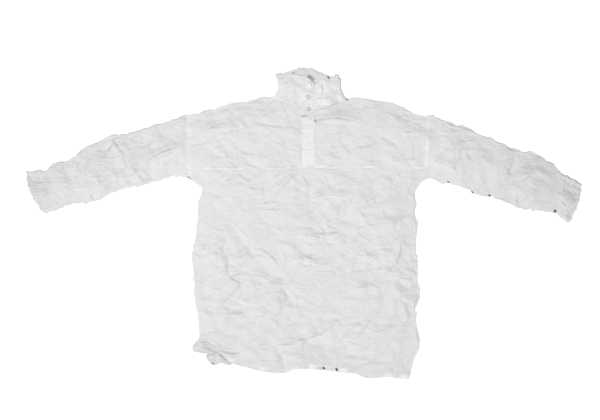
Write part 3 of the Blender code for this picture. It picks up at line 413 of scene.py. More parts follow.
# Patches of cloth that lean away from the light, as ellipses
Lean = namedtuple("Lean", "x y reach_x reach_y rise")
LEANS = named_rows(Lean, [
    (150, -372, 44, 17, 3.4), (154, -281, 30, 13, 3.0), (-56, -334, 28, 9, 3.0),
    (-8, -321, 30, 10, 3.4), (44, -306, 24, 9, 3.0), (-232, -292, 27, 10, 3.0),
    (296, -56, 23, 15, 3.6), (300, 14, 17, 18, 3.2), (304, -96, 15, 20, 3.0),
    (196, -84, 26, 12, 2.4), (62, 70, 26, 10, 2.4), (-116, 4, 30, 12, 2.2),
    (-20, -204, 28, 12, 2.4), (410, 262, 42, 13, 3.0), (640, 160, 40, 14, 3.2),
    (500, 214, 34, 16, 2.6), (-560, 172, 30, 16, 2.8), (-640, 96, 36, 14, 2.4),
    (-408, 178, 34, 13, 3.2),
])
# Small deep tucks along the outline, which hold a painted black shadow
Tuck = namedtuple("Tuck", "x y radius")
TUCKS = named_rows(Tuck, [
    (372, 124, 2.0), (405, 118, 2.4), (473, 88, 2.9), (521, 80, 2.5), (571, 65, 2.3),
    (706, 34, 4.0), (774, 121, 3.6), (-322, 129, 3.6), (56, -403, 2.8), (92, -407, 2.8),
    (-256, -390, 1.8), (32, 290, 1.2), (68, 412, 3.0), (120, 353, 3.2),
])
CREASE_WIDTH = 3.3
DEEPER = 1.5  # how much deeper the creases are here than in their table
DARK_WIDTH = 2.0  # half the width of the painted shadow along a crease
LIGHT_AT = 3.6  # how far beside a crease its raised edge has a painted highlight
LIGHT_SHARE = 0.9
LIFT_REACH = 13.0
CLOSE = 14.0  # how far beside a sharp crease the small ones keep away
CROSSING = 0.85  # how much of them a sharp crease takes away there
FULL_DEPTH = 1.8  # a sharp crease this deep is painted fully dark, and a deeper one's painted shadow is also wider
DARKEST = 1.32  # the most that a deeper one's painted shadow counts

# Small creases strewn between the folds: how many, where and how they lie
Strewn = namedtuple("Strewn", "count x0 x1 y0 y1 turn spread longest highest seed")
CREASES = named_rows(Strewn, [
    (300, -325, 350, -430, 345, 0.0, 0.6, 110, 1.4, 5),
    (80, -780, -325, 30, 305, 0.35, 0.6, 90, 1.2, 6),
    (80, 350, 780, 10, 300, -0.35, 0.6, 90, 1.2, 7),
])

# Flat facets between scattered points, at three sizes: how far they rise and fall, and how
# deep and how wide the sharp creases between them are
Facets = namedtuple("Facets", "cell_x cell_y rise groove width share seed")
FACETS = named_rows(Facets, [
    (74, 32, 4.0, 1.9, 3.0, 0.4, 31), (38, 17, 3.1, 1.3, 2.6, 0.4, 32),
    (20, 10, 1.5, 0.45, 2.2, 0.45, 33),
])
# Which part of the facet sheets each sleeve reads, and how its facets are shaped there
LEFT_SLEEVE_SHIFT = 380.0
RIGHT_SLEEVE_SHIFT = -700.0
SLEEVE_SHORTER = 1.25
SLEEVE_TALLER = 0.85
BROAD = 1.1  # how much the largest facets count against the small ones
BROAD_ON_SLEEVES = 1.4
SLEEVE_STREWN = 0.35  # the share of the strewn creases that shows on the sleeves
STIFFNESS = 0.65  # how much less crumpled the placket is
CALMER_CHEST = 0.34  # and how much less or more crumpled the other parts are
BUSIER_LEFT_SLEEVE = 0.3
CALMER_RIGHT_SLEEVE = 0.18
UNDER_HIGHEST = 3.2  # how far the underside's creases leave the floor
SEAM_RISE = 0.55  # how far the doubled cloth of a seam stands up
FACET_SHADE = 0.9  # how dark or light the painted shade and highlight of those creases are at most
VALLEYS = 0.55  # the share of those creases that go down
DOWN = Vector((0, 0, -1))


def through(rows, at):
    """A smooth curve through a table of (place, value) rows, read at one place or many."""
    place = np.array([row[0] for row in rows], float)
    value = np.array([row[1] for row in rows], float)
    slope = np.gradient(value, place)
    at = np.clip(np.asarray(at, float), place[0], place[-1])
    k = np.clip(np.searchsorted(place, at) - 1, 0, len(place) - 2)
    width = place[k + 1] - place[k]
    t = (at - place[k]) / width
    start = (1 + 2 * t) * (1 - t) ** 2 * value[k] + t * (1 - t) ** 2 * width * slope[k]
    end = t * t * (3 - 2 * t) * value[k + 1] + t * t * (t - 1) * width * slope[k + 1]
    return start + end


def smooth(t):
    """0 to 1 as t goes from 0 to 1, level at both ends."""
    t = np.clip(t, 0.0, 1.0)
    return t * t * (3 - 2 * t)


def mix(a, b, t):
    """a at t 0, b at t 1."""
    return a + (b - a) * t


def even(length, step, group=1, edge_cell=0.0):
    """Places from 0 to 1, about a step apart, in a number of spans that a group divides.

    With an edge cell, the first and last spans are only that long."""
    places = np.linspace(0, 1, max(2, round(length / step / group)) * group + 1)
    if edge_cell:
        places[1], places[-2] = edge_cell / length, 1 - edge_cell / length
    return places


def walked_along(points):
    """How far along a line of flat points each one lies."""
    return np.append(0, np.cumsum(np.hypot(*np.diff(points, axis=0).T)))


def jag(along, seed):
    """Small uneven corners along an outline: how far it stands out, by the place along it."""
    rng = np.random.RandomState(seed)
    places = np.arange(-900, 900, JAG_STEP)
    places = places + rng.uniform(-0.42, 0.42, len(places)) * JAG_STEP
    return np.interp(along, places, rng.uniform(-JAG, JAG, len(places)))


def armhole_x(section, y):
    """Where a straight armhole seam lies at a height y."""
    share = (section.upper_y - np.asarray(y, float)) / (section.upper_y - section.lower_y)
    return mix(section.upper_x, section.lower_x, share)


def left_edge(y):
    """A body panel's left edge: the armhole seam above the underarm, the side seam below."""
    side = through(LEFT_SIDE, y) + jag(y, 41)
    return np.where(y > LEFT_SIDE[-1].y, armhole_x(LEFT_SLEEVE[0], y) - SEAM_LAP, side)


def right_edge(y):
    """A body panel's right edge, in the same way."""
    side = through(RIGHT_SIDE, y) + jag(y, 42)
    return np.where(y > RIGHT_SIDE[-1].y, armhole_x(RIGHT_SLEEVE[0], y) + SEAM_LAP, side)


def back_left_edge(y):
    """The back's left edge, which leaves the front's at the twisted corner."""
    corner = BACK_LEFT_CORNER
    return np.where(y < corner[-1].y, through(corner, y), left_edge(y))


def top_edge(neck, x):
    """The upper edge of the front or the back: shoulder, neck, shoulder."""
    on_shoulder = smooth((np.abs(x - 15) - 80) / 20)
    return through(LEFT_SHOULDER + neck + RIGHT_SHOULDER, x) + jag(x, 43) * on_shoulder


def sewn_edges():
    """The segments where the front lies down on the back, as (starts, ends)."""
    left, right = LEFT_SLEEVE + LEFT_CUFF[1:], RIGHT_SLEEVE + RIGHT_CUFF[1:]
    lines = [
        [(row.x, row.y) for row in LEFT_SIDE[2:]] + [(s.lower_x, s.lower_y) for s in left],
        [(s.upper_x, s.upper_y) for s in reversed(left)] + [tuple(row) for row in LEFT_SHOULDER],
        [(row.x, row.y) for row in RIGHT_SIDE] + [(s.lower_x, s.lower_y) for s in right],
        [tuple(row) for row in RIGHT_SHOULDER] + [(s.upper_x, s.upper_y) for s in right],
    ]
    starts = [p for line in lines for p in line[:-1]]
    ends = [p for line in lines for p in line[1:]]
    return np.array(starts, float), np.array(ends, float)


SEWN_STARTS, SEWN_ENDS = sewn_edges()


def edge_distance(x, y):
    """How far each point lies from the nearest sewn edge."""
    points = np.stack([np.ravel(x), np.ravel(y)], axis=1)
    nearest = np.full(len(points), np.inf)
    for start, end in zip(SEWN_STARTS, SEWN_ENDS):
        along = end - start
        t = np.clip((points - start) @ along / max(along @ along, 1e-9), 0, 1)
        gap = points - start - t[:, None] * along
        nearest = np.minimum(nearest, np.hypot(gap[:, 0], gap[:, 1]))
    return nearest.reshape(np.shape(x))


def fold_heights(folds, x, y, sharp=1.25, foot_depth=0.0):
    """The folds of a table, added up, each with a slightly rounded crest.

    A fold may have a sharp crease along the foot of its steep side."""
    flat_x, flat_y = np.ravel(x), np.ravel(y)
    total = np.zeros(flat_x.shape)
    for fold in folds:
        reach = max(fold.left, fold.right) + abs(fold.bow)
        near = np.flatnonzero(
            (flat_x > min(fold.x0, fold.x1) - reach)
            & (flat_x < max(fold.x0, fold.x1) + reach)
            & (flat_y > min(fold.y0, fold.y1) - reach)
            & (flat_y < max(fold.y0, fold.y1) + reach)
        )
        if not len(near):
            continue
        px, py = flat_x[near] - fold.x0, flat_y[near] - fold.y0
        length = math.hypot(fold.x1 - fold.x0, fold.y1 - fold.y0)
        ux, uy = (fold.x1 - fold.x0) / length, (fold.y1 - fold.y0) / length
        t = (px * ux + py * uy) / length
        side = py * ux - px * uy - fold.bow * 4 * t * (1 - t)
        side = side + 0.02 * length * np.sin(9 * t + fold.x0)
        width = np.where(side > 0, fold.left, fold.right)
        off = np.sqrt(side * side + CREST_ROUNDING**2) - CREST_ROUNDING
        across = np.clip(1 - off / width, 0, 1) ** sharp
        steep_side = -1 if fold.left > fold.right else 1
        foot = np.abs(side * steep_side - FOOT_AT * min(fold.left, fold.right))
        across = across - foot_depth * np.clip(1 - foot / FOOT_WIDTH, 0, 1)
        total[near] += fold.rise * across * smooth(3.0 * np.minimum(t, 1 - t))
    return total.reshape(np.shape(x))


def stronger(a, b):
    """Of two shades at each point, dark above 0 and light below, the one further from 0."""
    return np.where(np.abs(a) > np.abs(b), a, b)


def crease_heights(creases, x, y):
    """The sharp creases of a table: the lift beside them, their depth, and their painted shade and
    highlight.

    The last result is how near a deep one is, 0 to 1."""
    flat = np.stack([np.ravel(x), np.ravel(y)], axis=1)
    total, valley, dark, close = np.zeros((4, len(flat)))
    for crease in creases:
        points = np.array(crease.points, float)
        low, high = points.min(axis=0) - 3 * LIFT_REACH, points.max(axis=0) + 3 * LIFT_REACH
        near = np.flatnonzero(((flat > low) & (flat < high)).all(axis=1))
        if not len(near):
            continue
        runs = np.diff(points, axis=0)
        lengths = np.hypot(runs[:, 0], runs[:, 1])
        walked = np.append(0, np.cumsum(lengths))
        best, side, at = np.full(len(near), np.inf), np.zeros(len(near)), np.zeros(len(near))
        for k, run in enumerate(runs):
            off = flat[near] - points[k]
            t = np.clip(off @ run / lengths[k] ** 2, 0, 1)
            gap = off - t[:, None] * run
            away = np.hypot(gap[:, 0], gap[:, 1])
            closer = away < best
            best = np.where(closer, away, best)
            cross = run[0] * off[:, 1] - run[1] * off[:, 0]
            side = np.where(closer, cross / lengths[k], side)
            at = np.where(closer, (walked[k] + t * lengths[k]) / walked[-1], at)
        taper = smooth(4 * np.minimum(at, 1 - at) + 0.1)
        lift = crease.lift * np.exp(-best / LIFT_REACH) * smooth(0.5 + side / 3.0)
        total[near] += taper * lift
        deep = taper * crease.depth * np.clip(1 - best / CREASE_WIDTH, 0, 1)
        valley[near] = np.maximum(valley[near], deep)
        # Painted shade along the crease, and a painted highlight beside it on its lifted side
        dark_width = DARK_WIDTH * max(1, crease.depth / FULL_DEPTH)
        line = taper * np.clip(1 - best / dark_width, 0, 1)
        line = line * min(DARKEST, crease.depth / FULL_DEPTH)
        beside = taper * np.clip(1 - np.abs(best - LIGHT_AT) / DARK_WIDTH, 0, 1) * (side > 0)
        light = -LIGHT_SHARE * beside * min(1.0, crease.depth / FULL_DEPTH)
        dark[near] = stronger(stronger(dark[near], line), light)
        beside_it = smooth(1.6 - best / CLOSE) * smooth(8 * np.minimum(at, 1 - at) + 0.2)
        close[near] = np.maximum(close[near], beside_it * min(1.0, crease.depth / 1.5))
    return tuple(values.reshape(np.shape(x)) for values in (total, valley, dark, close))


def strewn_creases():
    """Small creases at seeded random places, from the table."""
    creases = []
    for row in CREASES:
        rng = np.random.RandomState(row.seed)
        for _ in range(row.count):
            x, y = rng.uniform(row.x0, row.x1), rng.uniform(row.y0, row.y1)
            angle = row.turn + rng.normal(0, row.spread)
            length = rng.uniform(0.25, 1.0) * row.longest
            rise = row.highest * rng.uniform(0.35, 1.0) * (1 if rng.rand() < 0.7 else -1)
            steep, soft = rng.uniform(2.4, 4.5), rng.uniform(8.0, 20.0)
            left, right = (soft, steep) if rng.rand() < 0.6 else (steep, soft)
            dx, dy = 0.5 * length * math.cos(angle), 0.5 * length * math.sin(angle)
            bow = rng.uniform(-0.12, 0.12) * length
            creases.append(Fold(x - dx, y - dy, x + dx, y + dy, bow, rise, left, right))
    return creases


STREWN = strewn_creases()


class FacetSheet:
    """Flat triangles between scattered points of random height, with sharp creases between."""

    def __init__(self, row):
        rng = np.random.RandomState(row.seed)
        across, up = np.arange(-860, 861, row.cell_x), np.arange(-510, 511, row.cell_y)
        gx, gy = np.meshgrid(across, up)
        gx = gx + rng.uniform(-0.48, 0.48, gx.shape) * row.cell_x
        gy = gy + rng.uniform(-0.48, 0.48, gy.shape) * row.cell_y
        points = [Vector(p) for p in zip(gx.ravel(), gy.ravel())]
        places, _, triangles, _, _, _ = delaunay_2d_cdt(points, [], [], 0, 1e-4)
        heights = rng.uniform(-row.rise, row.rise, len(places))
        self.tree = BVHTree.FromPolygons(
            [(p.x, p.y, h) for p, h in zip(places, heights)], triangles, all_triangles=True
        )
        self.width, self.deepest = row.width, 1.2 * row.groove
        self.corners = np.array([[p.x, p.y] for p in places])[np.array(triangles)]
        depths = {}
        self.depth = np.zeros((len(triangles), 3))
        for t, corners in enumerate(triangles):
            for k in range(3):
                a, b = sorted((corners[k], corners[(k + 1) % 3]))
                if (a, b) not in depths:
                    run = places[b] - places[a]
                    level = abs(run.x) / max(run.length, 1e-6)
                    there = rng.rand() < 0.1 + row.share * level**2
                    way = 1 if rng.rand() < VALLEYS else -0.7
                    depths[a, b] = there * way * row.groove * rng.uniform(0.25, 1.0)
                self.depth[t, k] = depths[a, b]

    def read(self, x, y):
        """The facets' heights, their creases' depths and painted shade, at flat arrays of places.
        """
        z, face = np.zeros(len(x)), np.zeros(len(x), int)
        for k, (px, py) in enumerate(zip(x.tolist(), y.tolist())):
            hit, _, index, _ = self.tree.ray_cast(Vector((px, py, 50.0)), DOWN)
            if hit is not None:
                z[k], face[k] = hit.z, index
        place, valley, dark = np.stack([x, y], axis=1), np.zeros(len(x)), np.zeros(len(x))
        for k in range(3):
            start, end = self.corners[face, k], self.corners[face, (k + 1) % 3]
            run, off = end - start, place - start
            length = np.hypot(run[:, 0], run[:, 1])
            away = np.abs(run[:, 0] * off[:, 1] - run[:, 1] * off[:, 0]) / length
            t = (run * off).sum(axis=1) / length**2
            taper = 0.25 + 0.75 * smooth(4 * np.minimum(t, 1 - t))
            valley += self.depth[face, k] * taper * np.clip(1 - away / self.width, 0, 1)
            # Painted shade along a crease that goes down, painted highlight along one that stands
            # up
            line = taper * np.clip(1 - away / DARK_WIDTH, 0, 1)
            dark = stronger(dark, line * self.depth[face, k] / self.deepest)
        return z, valley, dark


FACET_SHEETS = [FacetSheet(row) for row in FACETS]


def facets(x, y, shift=0.0, turn=0.0, broad=1.0):
    """The facets of every size: heights, and the depth and painted shade of their creases.

    shift and turn read another part of the same sheets, and broad scales the largest facets."""
    along = x * math.cos(turn) + y * math.sin(turn)
    up = y * math.cos(turn) - x * math.sin(turn)
    if turn:
        sleeve_shift = LEFT_SLEEVE_SHIFT if turn > 0 else RIGHT_SLEEVE_SHIFT
        along, up = SLEEVE_SHORTER * (along + sleeve_shift), SLEEVE_TALLER * up
    bent_x = np.ravel(along + 5.0 * np.sin(up / 37.0 + 1.0) + shift)
    bent_y = np.ravel(up + 4.0 * np.sin(along / 41.0))
    heights, valleys, darks = zip(*(sheet.read(bent_x, bent_y) for sheet in FACET_SHEETS))
    shape = np.shape(x)
    return (
        (broad * heights[0] + sum(heights[1:]) / broad).reshape(shape),
        sum(valleys).reshape(shape),
        stronger(stronger(darks[0], darks[1]), darks[2]).reshape(shape),
    )


def busy(x, y):
    """How crumpled the cloth is at a place, from calm to busy."""
    waves = np.sin(x / 61.0 + 0.8) * np.sin(y / 47.0 + 2.1) + np.sin((x + y) / 83.0)
    in_chest = smooth((y - 150) / 20) * (np.abs(x) < 325)
    on_left_sleeve, on_right_sleeve = smooth((-325 - x) / 20), smooth((x - 350) / 20)
    share = (
        1
        - CALMER_CHEST * in_chest
        + BUSIER_LEFT_SLEEVE * on_left_sleeve
        - CALMER_RIGHT_SLEEVE * on_right_sleeve
    )
    return np.clip(0.88 + 0.28 * waves, 0.5, 1.3) * share


def by_placket(x, y):
    """1 where the stiff placket lies, falling to 0 around it."""
    inside = smooth((x - PLACKET_LEFT + 9) / 8) * smooth((PLACKET_RIGHT + 9 - x) / 8)
    return inside * smooth((y - PLACKET_END + 14) / 10)


def hem_distance(x, y):
    """How far above the front's hem a place lies."""
    return y - through(HEM, x)


def lean_heights(x, y):
    """The leaning patches: each falls towards the upper right, inside a crisp rim."""
    total = np.zeros(np.shape(x))
    for lean in LEANS:
        u, v = (x - lean.x) / lean.reach_x, (y - lean.y) / lean.reach_y
        inside = np.clip(1 - (np.abs(u) ** 1.6 + np.abs(v) ** 1.6) ** 2, 0, 1)
        total -= lean.rise * inside * (0.5 * u + 0.85 * v)
    return total


def tuck_darkness(x, y):
    """How far inside a deep tuck each point lies, 0 to 1."""
    dark = np.zeros(np.shape(x))
    for tuck in TUCKS:
        away = np.hypot(1.2 * (x - tuck.x) + 0.5 * (y - tuck.y), (y - tuck.y) * 0.8)
        dark = np.maximum(dark, smooth(2.0 - away / tuck.radius))
    return dark


def front_relief(x, y, turn=0.0):
    """The crumpled front's upper face: heights over the floor, and its painted shade.

    The painted shade runs from 0 to 1 in a sharp crease, and on to 2 in a deep tuck's painted
    shadow; below 0 it is a painted highlight beside a crease."""
    x, y = np.asarray(x, float), np.asarray(y, float)
    edge = edge_distance(x, y)
    fold = np.sqrt(1 - (1 - np.clip(edge / EDGE_FOLD, 0, 1)) ** 2)
    rise = EDGE_FOLD_SHARE * fold + (1 - EDGE_FOLD_SHARE) * smooth(edge / EDGE_RUN)
    in_body = (x > LEFT_SIDE[-1].x) & (x < RIGHT_SIDE[-1].x) & (y < LEFT_SIDE[-1].y)
    loft = mix(LOFT_AT_HEM, LOFT, np.where(in_body, smooth(hem_distance(x, y) / HEM_RUN), 1.0))
    stiff = by_placket(x, y)
    calm = busy(x, y) * (1 - STIFFNESS * stiff)
    strewn_share = SLEEVE_STREWN if turn else 1 - STIFFNESS * stiff
    broad = BROAD_ON_SLEEVES if turn else BROAD
    facet_z, between, facet_dark = facets(x, y, 0.0, turn, broad)
    lift, deep, crease_dark, close = crease_heights(SHARP, x, y)
    apart = 1 - CROSSING * close
    valley = DEEPER * deep + calm * between * apart
    main = fold_heights(FOLDS, x, y, 1.6, FOOT_DEPTH) + lift + lean_heights(x, y)
    fine = facet_z * calm + fold_heights(STREWN, x, y, 1.0) * strewn_share
    inside = smooth(edge / FOLD_RUN)
    top = EDGE_TOP + (loft - EDGE_TOP) * rise + (main + fine - valley) * inside
    lowest = EDGE_TOP + (LOWEST_INSIDE - EDGE_TOP) * smooth(edge / (3 * FOLD_RUN))
    # Painted shade in the creases, painted highlight beside some, and a painted black shadow in the
    # deep tucks
    facet_dark = np.clip(FACET_SHADE * facet_dark * calm, -1, 1) * apart
    dark = stronger(crease_dark, facet_dark) * inside
    tuck = tuck_darkness(x, y)
    return np.maximum(top, lowest) * (1 - 0.2 * tuck), np.maximum(dark, 2 * tuck)


def front_z(x, y):
    """Height of the crumpled front's upper face over the floor, in millimetres."""
    return front_relief(x, y)[0]


def patchy(x, y):
    """An uneven pattern from 0 to 1, by which a seam's painted highlight, and some lines of painted
    shade, come and go.
    """
    waves = np.sin(x / 7.3 + 2 * np.sin(y / 19.0)) + np.sin(y / 8.9 + 2 * np.sin(x / 23.0))
    return np.clip(0.55 + 0.35 * waves, 0, 1)


def seam_bands(x, y, in_chest):
    """The doubled cloth along the seams on the front: how much it stands up, 0 to 1."""
    band = np.zeros(np.shape(x))
    for section, side in ((LEFT_SLEEVE[0], 1), (RIGHT_SLEEVE[0], -1)):
        inside = (x - armhole_x(section, y)) * side
        strip = (0.65 - 0.2 * side) * smooth((ARMHOLE_BAND - inside) / 2)
        band = np.maximum(band, np.where(y > section.lower_y, strip, 0))
    below = through(CHEST_SEAM, x) - y
    if not in_chest:
        band = np.maximum(band, smooth((CHEST_BAND - below) / 2))
    above = hem_distance(x, y)
    hem = np.where(y < 0, smooth((HEM_BAND - above) / 2.5), 0)
    return np.maximum(band, hem)


def puckers(x, y):
    """Small ripples that stitching draws up."""
    return 0.28 * np.sin(x / 2.3 + 3 * np.sin(x / 31.0)) * np.sin(y / 2.9 + 2 * np.sin(y / 23.0))


def dressed_front(x, y, in_chest):
    """The front with its seams: heights, and painted tones from 1 on a lighter seam to -2 in a deep
    tuck's painted shadow.
    """
    band = seam_bands(x, y, in_chest)
    z, painted_shade = front_relief(x, y)
    # Painted shade along the front's edge where it lies over the twisted corner
    at_corner = smooth((-312 - y) / 20) * smooth((-200 - x) / 30)
    inward = np.minimum(x - left_edge(y), hem_distance(x, y))
    shade = painted_shade + 0.45 * at_corner * smooth(1 - inward / 16)
    # Painted shade along the hem
    shadow = 0.3 * smooth((34 - hem_distance(x, y)) / 14) * (y < 0)
    # A seam is lighter: partly its doubled cloth, partly a painted highlight
    light = 1.15 * band * patchy(x, y) ** 2 * (1 - at_corner)
    below = through(CHEST_SEAM, x) - y
    # A painted shadow line under the chest seam
    shadow = shadow + 0.5 * smooth(1.6 - np.abs(below - CHEST_BAND - 1) / 2) * patchy(x, y)
    return z + band * (SEAM_RISE + puckers(x, y)), light - shade - shadow


def under_z(x, y):
    """Height of the underside: flat on the floor, with creases drawn up off it."""
    folded = np.maximum(fold_heights(STREWN, x + 37, y - 21, 1.0), 0) * 1.3
    height, between, _ = facets(x, y, 23.0)
    faceted = np.maximum(height - between - 0.4, 0) * 0.8
    return FLOOR_GAP + np.minimum(folded + faceted, UNDER_HIGHEST)


# The materials

class Nodes:
    """A material's node tree, with short calls to add and join nodes."""

    def __init__(self, name, **settings):
        self.material = bpy.data.materials.new(name)
        self.material.use_nodes = True
        self.tree = self.material.node_tree
        self.shader = self.tree.nodes["Principled BSDF"]
        self.give(self.shader, **settings)

    def feed(self, target, value):
        """Joins an output to an input, or gives the input a plain value."""
        if isinstance(value, bpy.types.NodeSocket):
            self.tree.links.new(value, target)
        else:
            target.default_value = value

    def give(self, node, **settings):
        """Feeds the inputs that the settings name, and sets the node's own properties."""
        for key, value in settings.items():
            name = key.replace("_", " ")
            if name in node.inputs:
                self.feed(node.inputs[name], value)
            else:
                setattr(node, key, value)

    def add(self, kind, *inputs, **settings):
        """Adds a node with its settings, and feeds its first inputs in their order."""
        node = self.tree.nodes.new("ShaderNode" + kind)
        self.give(node, **settings)
        for target, value in zip(node.inputs, inputs):
            self.feed(target, value)
        return node

    def ramp(self, value, low, high):
        """The output of a ramp: 0 up to the low value, 1 from the high one on."""
        node = self.add("MapRange", clamp=True, Value=value, From_Min=low, From_Max=high)
        return node.outputs["Result"]

    def mixed(self, share, a, b):
        """The output of a mix of two colours, each an output or a plain colour."""
        node = self.add("Mix", data_type="RGBA", blend_type="MIX")
        for k, value in ((0, share), (6, a), (7, b)):
            self.feed(node.inputs[k], value)
        return node.outputs[2]

    def fine_creases(self, place, before, scale, lean, depth):
        """A bump of thin sharp creases round long uneven cells, which come and go."""
        bent = self.add("TexNoise", Vector=place, Scale=11.0, Detail=2.0).outputs["Color"]
        moved = self.add("VectorMath", bent, CELL_BEND, place, operation="MULTIPLY_ADD")
        laid = self.add(
            "Mapping", Vector=moved.outputs["Vector"], Rotation=(0.0, 0.0, lean), Scale=CELL_SHAPE
        )
        cells = self.add(
            "TexVoronoi", feature="DISTANCE_TO_EDGE", Vector=laid.outputs["Vector"], Scale=scale
        )
        line = self.ramp(cells.outputs["Distance"], 0.0, LINE_WIDTH * scale)
        patches = self.add("TexNoise", Vector=place, Scale=0.55 * scale, Detail=1.0)
        there = self.ramp(patches.outputs["Fac"], *PATCH_EDGE)
        return self.add("Bump", Distance=depth, Height=line, Strength=there, Normal=before)


SEAM_TONE = 1.13  # how much lighter a seam is: partly its doubled cloth, partly a painted highlight on its raised edge
CREASE_SHADE_TONE = 0.83  # how much darker a sharp crease is: painted shade for its small shadows
TUCK_SHADOW_TONE = 0.05  # and the painted black shadow inside a deep tuck
TUCK_SHADOW_TINT = (1.0, 0.86, 0.7)  # which is a little brown
NO_TINT = (1, 1, 1)
WHITEST = 0.93
DRIFT_TINT = (0.975, 0.972, 0.992)  # the darker end of the drift of tone
WEAVE_SCALE = 320.0  # about one thread to the millimetre
WEAVE_DEPTH = 0.00012  # in metres, as all the depths of bumps are
CRUMPLE_DEPTH = 0.0009
FINE_CREASES = [(34.0, 0.35, 0.00095), (62.0, -0.4, 0.0007)]  # scale, lean and depth
CELL_BEND = (0.03, 0.02, 0.0)
CELL_SHAPE = (0.5, 1.15, 0.0)
LINE_WIDTH = 0.0021
PATCH_EDGE = (0.46, 0.66)
PEARL_RIM = (0.0038, 0.0052)  # where a button's middle ends and its rim begins, in metres
PEARL_CLOUD = 0.0016


def cotton(name, colour, weave=0.35, crumple=0.5):
    """White cotton: a fine plain weave, small creases, a faint drift of tone, and the painted light
    and shade of its tone attribute.
    """
    n = Nodes(
        name, Roughness=0.88, Specular_IOR_Level=0.25, Sheen_Weight=0.12, Sheen_Roughness=0.6
    )
    place = n.add("TexCoord").outputs["Object"]

    drift = n.add("TexNoise", Vector=place, Scale=8.0, Detail=3.0, Roughness=0.55)
    ramp = n.add("ValToRGB", drift.outputs["Fac"])
    dark = [c * k for c, k in zip(colour, DRIFT_TINT)]
    for stop, at, shade in zip(ramp.color_ramp.elements, (0.3, 0.7), (dark, colour)):
        stop.position = at
        stop.color = (*shade, 1)

    # The tone attribute paints light and shade: seams lighter (partly doubled cloth, partly painted
    # highlight), painted shade in creases, painted black shadow in tucks
    tone = n.add("Attribute", attribute_name="tone").outputs["Fac"]
    last = ramp.outputs["Color"]
    for sign, start, change, tint in (
        (1, 0, SEAM_TONE, NO_TINT),
        (-1, 0, CREASE_SHADE_TONE, NO_TINT),
        (-1, -1, TUCK_SHADOW_TONE, TUCK_SHADOW_TINT),
    ):
        share = n.add("Math", tone, sign, start, operation="MULTIPLY_ADD", use_clamp=True)
        turned = [min(WHITEST, c * change * k) for c, k in zip(colour, tint)]
        last = n.mixed(share.outputs[0], last, (*turned, 1))
    n.feed(n.shader.inputs["Base Color"], last)

    threads = []
    for direction in ("X", "Y"):
        wave = n.add(
            "TexWave", Vector=place, Scale=WEAVE_SCALE, Distortion=1.5, Detail_Scale=2.0
        )
        wave.bands_direction = direction
        threads.append(wave.outputs["Fac"])
    woven = n.add("Math", *threads, operation="MULTIPLY").outputs[0]

    small = n.add(
        "TexNoise", Vector=place, Scale=150.0, Detail=5.0, Roughness=0.55, Distortion=0.6
    )
    last = n.add("Bump", Strength=crumple, Distance=CRUMPLE_DEPTH, Height=small.outputs["Fac"])
    for row in FINE_CREASES:
        last = n.fine_creases(place, last.outputs["Normal"], *row)
    last = last.outputs["Normal"]
    cloth = n.add("Bump", Strength=weave, Distance=WEAVE_DEPTH, Height=woven, Normal=last)
    n.feed(n.shader.inputs["Normal"], cloth.outputs["Normal"])
    return n.material


def pearl(name, centre, middle_colour, rim_colour):
    """A shell button: a cloudy middle inside a darker rim, under a glossy face."""
    n = Nodes(name, Roughness=0.22, Coat_Weight=0.5, Coat_Roughness=0.1)
    place = n.add("TexCoord").outputs["Object"]
    cloud = n.add("TexNoise", Vector=place, Scale=260.0, Detail=3.0, Distortion=1.8)
    away = n.add("VectorMath", place, centre, operation="DISTANCE").outputs["Value"]
    clouded = n.add("Math", cloud.outputs["Fac"], PEARL_CLOUD, away, operation="MULTIPLY_ADD")
    share = n.ramp(clouded.outputs[0], *PEARL_RIM)
    colour = n.mixed(share, (*middle_colour, 1), (*rim_colour, 1))
    n.feed(n.shader.inputs["Base Color"], colour)
    return n.material


COTTON = cotton("white_cotton_seen", (0.778, 0.774, 0.777))
# Lighter than the single cloth: partly the doubled cloth's own whiteness, partly painted light
COTTON_DOUBLE = cotton("doubled_cotton_seen", (0.811, 0.808, 0.803), crumple=0.35)
THREAD = cotton("sewing_thread", (0.86, 0.86, 0.85), weave=0.1, crumple=0.1)


# The pieces

def new_piece(name, corners, faces, material, tone=None):
    """A mesh in the scene, from corners in millimetres. Cloth has a tone and smooth shading."""
    mesh = bpy.data.meshes.new(name)
    mesh.from_pydata((np.reshape(corners, (-1, 3)) * MM).tolist(), [], faces)
    mesh.materials.append(material)
    if tone is not None:
        shade = mesh.attributes.new("tone", "FLOAT", "POINT")
        shade.data.foreach_set("value", np.ravel(tone).astype(np.float32))
        mesh.shade_smooth()
    piece = bpy.data.objects.new(name, mesh)
    bpy.context.scene.collection.objects.link(piece)
    return piece


def grid_piece(name, points, material, thickness, tone, ring=False, flip=False):
    """A cloth shell over a grid of points, thickened on its inner side."""
    rows, columns = points.shape[:2]
    spans = columns if ring else columns - 1
    r, c = np.meshgrid(np.arange(rows - 1), np.arange(spans), indexing="ij")
    d = (c + 1) % columns
    quads = [r * columns + c, r * columns + d, (r + 1) * columns + d, (r + 1) * columns + c]
    faces = np.stack(quads[::-1] if flip else quads, axis=-1).reshape(-1, 4)
    piece = new_piece(name, points, faces.tolist(), material, tone)
    wall = piece.modifiers.new("thickness", "SOLIDIFY")
    wall.thickness = thickness * MM
    wall.offset = -1.0
    wall.use_even_offset = False
    return piece


